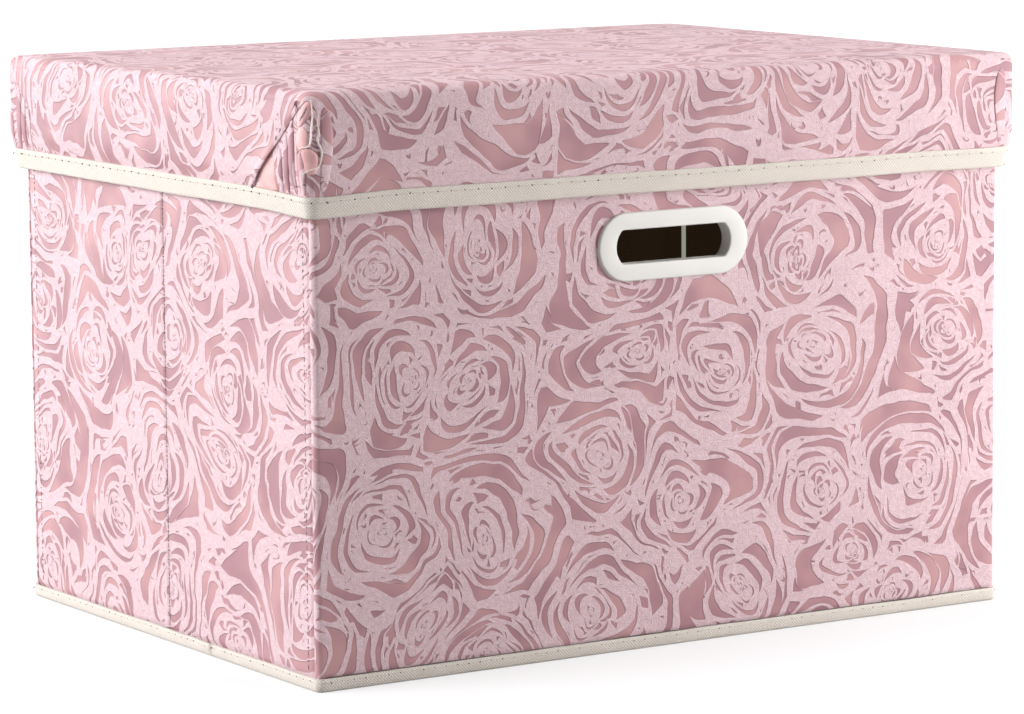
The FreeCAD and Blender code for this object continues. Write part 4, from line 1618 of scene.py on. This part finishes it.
def film_material(name, dark, pale):
    """The cloth's smooth reverse side, or its raw cut edge."""
    material, n, shader = new_material(name, sheen=0.1)
    place = n.add("ShaderNodeUVMap", uv_map=CLOTH_MAP).outputs["UV"]
    fibre = n.group(fibre_grain, Place=place, Fibre_Size=0.0007, Patch_Size=0.012)
    n.put(shader.inputs["Base Color"], n.mix(n.step(0.3, 0.7, fibre["Blotch"]), dark, pale))
    n.put(shader.inputs["Roughness"], n.math("MULTIPLY_ADD", fibre["Grain"], 0.3, 0.45))
    bump(n, shader, fibre["Grain"], 0.15 * MM)
    return material


reverse_side = film_material("rose_reverse", (0.700, 0.370, 0.365, 1), (0.830, 0.500, 0.490, 1))
cut_edge = film_material("rose_cut_edge", (0.800, 0.690, 0.640, 1), (0.900, 0.800, 0.760, 1))
plastic = plastic_material()
card = card_material()
cream_thread = thread_material("cream_thread", (0.52, 0.45, 0.37, 1), (0.72, 0.66, 0.58, 1))
rose_thread = thread_material("rose_thread", (0.20, 0.13, 0.15, 1), (0.34, 0.25, 0.28, 1))
# Painted shadow: near-black finish of the strip in the groove above the base tape.
groove_shadow_finish = thread_material("groove_painted_shadow", (0.035, 0.02, 0.018, 1), (0.08, 0.05, 0.045, 1))
# Painted shade: near-black beads stand for the shade inside the needle holes.
hole_dark = thread_material("needle_hole", (0.05, 0.035, 0.03, 1), (0.10, 0.075, 0.06, 1))
print("materials:", sorted(m.name for m in bpy.data.materials))

# %% [markdown]
# Seams are rows of stitches. An Array modifier along a curve could repeat one stitch, but all
# would be the same. A Geometry Nodes tree makes one stitch and the needle hole beside it once,
# repeats them a pitch apart and turns each a little at random. The last node turns the copies
# into real mesh.

# %% Stitch row tree
def stitch_row_tree():
    """Geometry Nodes tree that lays stitches and needle holes along a line."""
    tree = bpy.data.node_groups.new("stitch_row", "GeometryNodeTree")
    kinds = {"Geometry": "Geometry", "Pitch": "Float", "Length": "Float", "Radius": "Float",
             "Unevenness": "Float", "Seed": "Int", "Thread": "Material", "Hole": "Material"}
    for label, kind in kinds.items():
        tree.interface.new_socket(label, in_out="INPUT", socket_type="NodeSocket" + kind)
    tree.interface.new_socket("Geometry", in_out="OUTPUT", socket_type="NodeSocketGeometry")
    n = Nodes(tree)
    given = n.add("NodeGroupInput").outputs

    def ball(length, thick, away, finish):
        """A long round bead of a material, away from the middle of its stitch."""
        bead = n.add("GeometryNodeMeshUVSphere", {"Segments": 8, "Rings": 6, "Radius": 1.0})
        size = n.add("ShaderNodeCombineXYZ", {"X": length, "Y": thick, "Z": thick})
        place = n.add("ShaderNodeCombineXYZ", {"X": away})
        moved = n.add("GeometryNodeTransform", {"Geometry": bead.outputs["Mesh"],
                                                "Translation": place.outputs[0],
                                                "Scale": size.outputs[0]})
        return n.add("GeometryNodeSetMaterial", {"Geometry": moved.outputs[0],
                                                 "Material": finish}).outputs[0]

    stitch = ball(n.math("MULTIPLY", given["Length"], 0.5), given["Radius"], 0.0, given["Thread"])
    # The hole is a dark bead: painted shade where the needle went through the cloth.
    hole = ball(n.math("MULTIPLY", given["Radius"], 2.0), n.math("MULTIPLY", given["Radius"], 1.5),
                n.math("MULTIPLY", given["Pitch"], 0.5), given["Hole"])
    both = n.add("GeometryNodeJoinGeometry")
    for part in (stitch, hole):
        tree.links.new(part, both.inputs[0])
    line = n.add("GeometryNodeMeshToCurve", {"Mesh": given["Geometry"]})
    spots = n.add("GeometryNodeResampleCurve", {"Curve": line.outputs[0], "Length": given["Pitch"]},
                  mode="LENGTH")
    tangent = n.add("GeometryNodeInputTangent").outputs[0]
    along = n.add("FunctionNodeAlignRotationToVector", {"Vector": tangent}, axis="X")
    uneven = n.add("FunctionNodeRandomValue", {"Seed": given["Seed"]}, data_type="FLOAT_VECTOR")
    n.put(uneven.inputs[0], n.vector("MULTIPLY", given["Unevenness"], (-1.0, -1.0, -1.0)))
    n.put(uneven.inputs[1], given["Unevenness"])
    turned = n.add("FunctionNodeRotateRotation", {"Rotation": along.outputs[0]})
    lean = n.add("FunctionNodeEulerToRotation", {"Euler": uneven.outputs[0]})
    n.put(turned.inputs["Rotate By"], lean.outputs[0])
    row = n.add("GeometryNodeInstanceOnPoints", {"Points": spots.outputs[0],
                                                 "Instance": both.outputs[0],
                                                 "Rotation": turned.outputs[0]})
    real = n.add("GeometryNodeRealizeInstances", {"Geometry": row.outputs[0]})
    smooth_row = n.add("GeometryNodeSetShadeSmooth")
    n.put(smooth_row.inputs[0], real.outputs[0])
    tree.links.new(smooth_row.outputs[0], n.add("NodeGroupOutput").inputs[0])
    return tree


stitch_row = stitch_row_tree()
print("stitch tree:", len(stitch_row.nodes), "nodes")

# %% One seam from the tree
LID_STITCH = {"Pitch": 8.4 * MM, "Length": 6.7 * MM, "Radius": 0.28 * MM}
TAPE_STITCH = {"Pitch": 7.1 * MM, "Length": 5.6 * MM, "Radius": 0.24 * MM}
CORNER_STITCH = {"Pitch": 7.1 * MM, "Length": 3.2 * MM, "Radius": 0.22 * MM}
CREASE_STITCH = {"Pitch": 5.2 * MM, "Length": 3.6 * MM, "Radius": 0.26 * MM}
STITCH_UNEVEN = 0.05
STITCH_SEED = 1
seams = {}


def add_seam(name, body, slot, lines, thread, stitch):
    """One piece of stitches along lines of points, for a body. The slot is not used."""
    points = []
    edges = []
    for line in lines:
        edges += [(len(points) + index, len(points) + index + 1) for index in range(len(line) - 1)]
        points += line
    mesh = bpy.data.meshes.new(name)
    mesh.from_pydata(points, edges, [])
    row = add_piece(name, mesh)
    modifier = row.modifiers.new("stitches", "NODES")
    modifier.node_group = stitch_row
    values = {**stitch, "Unevenness": STITCH_UNEVEN, "Seed": STITCH_SEED, "Thread": thread,
              "Hole": hole_dark}
    for item in stitch_row.interface.items_tree:
        if item.in_out == "INPUT" and item.name in values:
            modifier[item.identifier] = values[item.name]
    seams[name] = (body, slot, set_modifiers(row))


print("a tape stitch is %.1f mm long" % (1000 * TAPE_STITCH["Length"]))

# %% [markdown]
# The tapes are sewn near their upper edge. The end walls are sewn down the crease and a little
# way in from each corner. The rows could be straight lines, but cloth is not flat. Every row
# follows the same small shifts as the cloth that it holds, so that no stitch floats or sinks in.

# %% Seams
TAPE_SEAM_DROP = 2.6 * MM
CORNER_SEAM_IN = 10.6 * MM


def along_path(path, out, z, shift=None):
    """Line of points at an offset and a height along a plan path."""
    line = []
    for x, y, nx, ny, distance in path:
        place = Vector((x + nx * out, y + ny * out, z))
        if shift:
            place = shift(place, Vector((nx, ny, 0)), distance, 0.0)
        line.append(tuple(place))
    return line


def upright(x, y):
    """Upright line of points on an end wall, from the base tape to the rim."""
    return [(x, y, z) for z in stations(12 * MM, wall_cloth_top - 4 * MM, 20 * MM)]


hem_seam_z = hem_top - TAPE_SEAM_DROP
hem_line = along_path(hem_path, cover_out(hem_seam_z) + 1.15 * MM, hem_seam_z, hem_shift)
add_seam("lid_tape_stitches", "lid", "cream_tape", [hem_line + hem_line[:1]], cream_thread, LID_STITCH)
base_line = along_path(base_path, 1.12 * MM, base_top - 1.6 * MM, base_shift)
add_seam("base_tape_stitches", "back_wall", "cream_tape", [base_line + base_line[:1]], cream_thread,
         TAPE_STITCH)
for body, path in rim_paths.items():
    level = rim_low.z + 1.8 * MM
    inner_level = level + (1.8 * MM if body.endswith("wall") else 0.0)
    lines = [along_path(path[2:-2], 0.05 * MM, level),
             along_path(path[2:-2], -wall_thickness + 0.15 * MM, inner_level)]
    add_seam(body + "_rim_stitches", body, "cream_tape", lines, cream_thread, TAPE_STITCH)
for side, sign_x in (("left", -1), ("right", 1)):
    face = sign_x * half_width
    for part, sign_y in (("rear", 1), ("front", -1)):
        body = side + "_" + part
        lines = [upright(face + sign_x * 0.1 * MM, sign_y * (half_depth - CORNER_SEAM_IN))]
        add_seam(body + "_corner_stitches", body, "rose_cloth", lines, rose_thread, CORNER_STITCH)
    crease = upright(face - sign_x * (CREASE_DEPTH - 0.1 * MM), 0.0)
    add_seam(side + "_crease_stitches", side + "_rear", "rose_cloth", [crease], rose_thread,
             CREASE_STITCH)
print("seams:", len(seams))

# %% [markdown]
# A piece that looks right at rest still has to move. Every piece gets its material, and most ride
# on the body that carries them. A piece that stands for imported nodes hides them. The end wall
# cloths and their linings ride on no body: their place is baked into their mesh. The pieces of the
# base, with the base tape's stitches, get a mesh of their own.


def dress(piece, material, slot, *nodes, body=None):
    """Gives a piece its material, hides the CAD nodes that it stands for and lets it ride on a body. The
    slot is not used.
    """
    piece.data.materials.clear()
    piece.data.materials.append(material)
    if nodes:
        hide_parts(*nodes)
    if body:
        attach(piece, body)


def crumple(piece):
    """Gives a piece of the base its own copy of its mesh."""
    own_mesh(piece)


# %% Who rides on what: walls
end_pieces = {"left": (left_end_cloth, left_lining_cloth), "right": (right_end_cloth, right_lining_cloth)}
dress(front_cloth, rose, "rose_cloth", "front_cover", body="front_wall")
dress(back_cloth, rose, "rose_cloth", "back_cover", body="back_wall")
dress(left_end_cloth, rose, "rose_cloth", "left_rear_cover", "left_front_cover")
dress(right_end_cloth, rose, "rose_cloth", "right_rear_cover", "right_front_cover")
dress(front_lining_cloth, lining, "lining_cloth", "front_lining", body="front_wall")
dress(back_lining_cloth, lining, "lining_cloth", "back_lining", body="back_wall")
dress(left_lining_cloth, lining, "lining_cloth", "left_rear_lining", "left_front_lining")
dress(right_lining_cloth, lining, "lining_cloth", "right_rear_lining", "right_front_lining")
for side, pieces in end_pieces.items():
    for piece in pieces:
        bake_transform(piece)
print("bend across a crease:", sum(len(pieces) for pieces in end_pieces.values()), "pieces")

# %% Who rides on what: base, tapes and seams
dress(base_tape_cloth, tape, "cream_tape", "base_tape", body="back_wall")
dress(floor_cloth, lining, "lining_cloth", "base_cloth", body="back_wall")
# Painted shadow: the dark strips in the groove above the base tape ride on the back wall.
for piece in shadow_strips_in_groove:
    dress(piece, groove_shadow_finish, "lining_cloth", body="back_wall")
for piece in [base_tape_cloth, floor_cloth] + shadow_strips_in_groove:
    crumple(piece)
dress(floor_sleeve, lining, "lining_cloth", "base_insert_cover", body="back_wall")
for body, slot, row in seams.values():
    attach(row, body)
crumple(seams["base_tape_stitches"][2])
for body, piece in seam_tapes.items():
    dress(piece, thin_tape, "cream_tape", body=body)
for body, piece in rim_tapes.items():
    node = body.replace("_wall", "") + "_rim_binding"
    dress(piece, tape, "cream_tape", node, body=body)
print("tapes and seams ride on:", sorted(set(rim_tapes) | {row[0] for row in seams.values()}))

# %% Who rides on what: lid and grips
dress(lid_cloth, rose, "rose_cloth", "lid_cover", body="lid")
dress(left_end_skirt, rose, "rose_cloth", body="lid")
dress(right_end_skirt, rose, "rose_cloth", body="lid")
corner_finishes = {"folds": rose, "reverse": reverse_side, "edges": cut_edge, "threads": rose_thread}
for name, finish in corner_finishes.items():
    dress(corner_pieces["lid_corner_" + name], finish, "rose_cloth", body="lid")
dress(lid_tape_cloth, tape, "cream_tape", "lid_tape", body="lid")
dress(lid_lining_cloth, lining, "lining_cloth", "lid_lining", body="lid")
dress(front_grip, plastic, "grip_plastic", "front_handle_frame", body="front_wall")
dress(back_grip, plastic, "grip_plastic", "back_handle_frame", body="back_wall")
print("lid corner pieces dressed:", sorted(corner_finishes))

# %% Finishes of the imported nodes
for name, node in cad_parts.items():
    node.data.materials.clear()
    node.data.materials.append(plastic if "handle" in name else card)
print("finished nodes:", len(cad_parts))

# %% [markdown]


# %% [markdown]
# The camera stands where the photo was taken from. Its place could be found by eye, but the
# converging edges of a box show every error. So its place, turn and lens come from a fit of the
# box's corners and edges to the photo.

# %% Camera
CAMERA_PLACE = Vector((-1.36935, -2.14829, 0.49401))
CAMERA_TURN = (1.43307, 0.0077, -0.56907)
CAMERA_LENS = 156.76

camera_data = bpy.data.cameras.new("camera")
camera_data.lens = CAMERA_LENS
camera_data.sensor_width = 36.0
camera = bpy.data.objects.new("camera", camera_data)
camera.location = CAMERA_PLACE
camera.rotation_euler = CAMERA_TURN
bpy.context.scene.collection.objects.link(camera)
bpy.context.scene.camera = camera
print("camera to the middle of the base: %.2f m" % CAMERA_PLACE.length)

# %% [markdown]
# The box stands on a white floor that runs into a white background. A backdrop with a bend could
# be built, but a large flat floor under a white world does the same, with a soft shadow round the
# base. The floor glows for the camera only, more with the distance, so it meets the background
# without a line. It is staged, so it is in the picture and isn't part of the box.

# %% Floor
FLOOR_REACH = 6.0
FLOOR_GREY = 0.38
FLOOR_ROUGHNESS = 0.8
GLOW_NEAR, GLOW_FAR = 0.55, 1.0
GLOW_START, GLOW_END = 0.45, 1.5
corners = [(x * FLOOR_REACH, y * FLOOR_REACH, 0) for x, y in ((-1, -1), (1, -1), (1, 1), (-1, 1))]
floor_mesh = bpy.data.meshes.new("floor")
floor_mesh.from_pydata(corners, [], [(0, 1, 2, 3)])
floor = add_piece("floor", floor_mesh)
floor_material, n, floor_shader = new_material("floor")
floor_shader.inputs["Base Color"].default_value = (FLOOR_GREY, FLOOR_GREY, FLOOR_GREY, 1)
floor_shader.inputs["Roughness"].default_value = FLOOR_ROUGHNESS
floor_shader.inputs["Emission Color"].default_value = (1, 1, 1, 1)
seen = n.add("ShaderNodeLightPath").outputs
spot = n.add("ShaderNodeTexCoord").outputs["Object"]
far = n.step(GLOW_START, GLOW_END, n.vector("LENGTH", spot))
glow = n.math("MULTIPLY_ADD", far, GLOW_FAR - GLOW_NEAR, GLOW_NEAR)
n.put(floor_shader.inputs["Emission Strength"], n.math("MULTIPLY", seen["Is Camera Ray"], glow))
floor.data.materials.append(floor_material)
print("floor material:", len(floor_material.node_tree.nodes), "nodes")

# %% [markdown]
# The photo has soft light from the left and above. Point lamps would draw hard shadows in the
# relief of the cloth, so these are area lamps: the nearer and larger one is, the softer its
# shadows. The key lamp stands on the left with the rim lamp behind it, and one hangs above. Two
# weaker ones light the front wall, and the smallest fills the shadows from beside the camera.

# %% Lamps
def area_light(name, place, target, size, power, colour=(1, 1, 1)):
    """A square soft light turned towards a point."""
    data = bpy.data.lights.new(name, "AREA")
    data.size = size
    data.energy = power
    data.color = colour
    light = bpy.data.objects.new(name, data)
    light.location = place
    light.rotation_euler = (Vector(target) - Vector(place)).to_track_quat("-Z", "Y").to_euler()
    bpy.context.scene.collection.objects.link(light)


area_light("key", (-2.4, 0.55, 1.35), (0, 0, 0.15), 1.6, 79, (0.97, 0.98, 1.0))
area_light("rim", (-1.25, 1.95, 0.45), (-0.2, 0, 0.15), 1.0, 30)
area_light("top", (0.1, 0.4, 2.3), (0, 0, 0.3), 1.5, 22)
area_light("side", (0.72, -0.64, 0.30), (0.15, -0.1, 0.16), 0.4, 7.2)
area_light("front", (0.8, -1.45, 1.5), (0, -0.1, 0.15), 0.4, 12)
area_light("fill", (-1.5, -2.35, 0.52), (0, 0, 0.15), 0.3, 3)
print("lamps:", len(bpy.data.lights))

# %% [markdown]
# The world is what the box sees where no lamp is. The camera should see clean white there, but so
# much light would wash the cloth out. A Light Path node tells the two apart: the camera and the
# mirrored rays get white, and the cloth gets a dim light.

# %% World and view
WHITE_SEEN, LIGHT_GIVEN = 1.0, 0.08

world = bpy.data.worlds.new("world")
world.use_nodes = True
n = Nodes(world.node_tree)
backdrop = world.node_tree.nodes["Background"]
backdrop.inputs["Color"].default_value = (1, 1, 1, 1)
seen = n.add("ShaderNodeLightPath").outputs
shown = n.math("MAXIMUM", seen["Is Camera Ray"], seen["Is Glossy Ray"])
shown = n.math("MAXIMUM", shown, seen["Is Transmission Ray"])
strength = n.math("MULTIPLY_ADD", shown, WHITE_SEEN - LIGHT_GIVEN, LIGHT_GIVEN)
n.put(backdrop.inputs["Strength"], strength)
bpy.context.scene.world = world
bpy.context.scene.view_settings.view_transform = "Standard"
print("view:", bpy.context.scene.view_settings.view_transform)
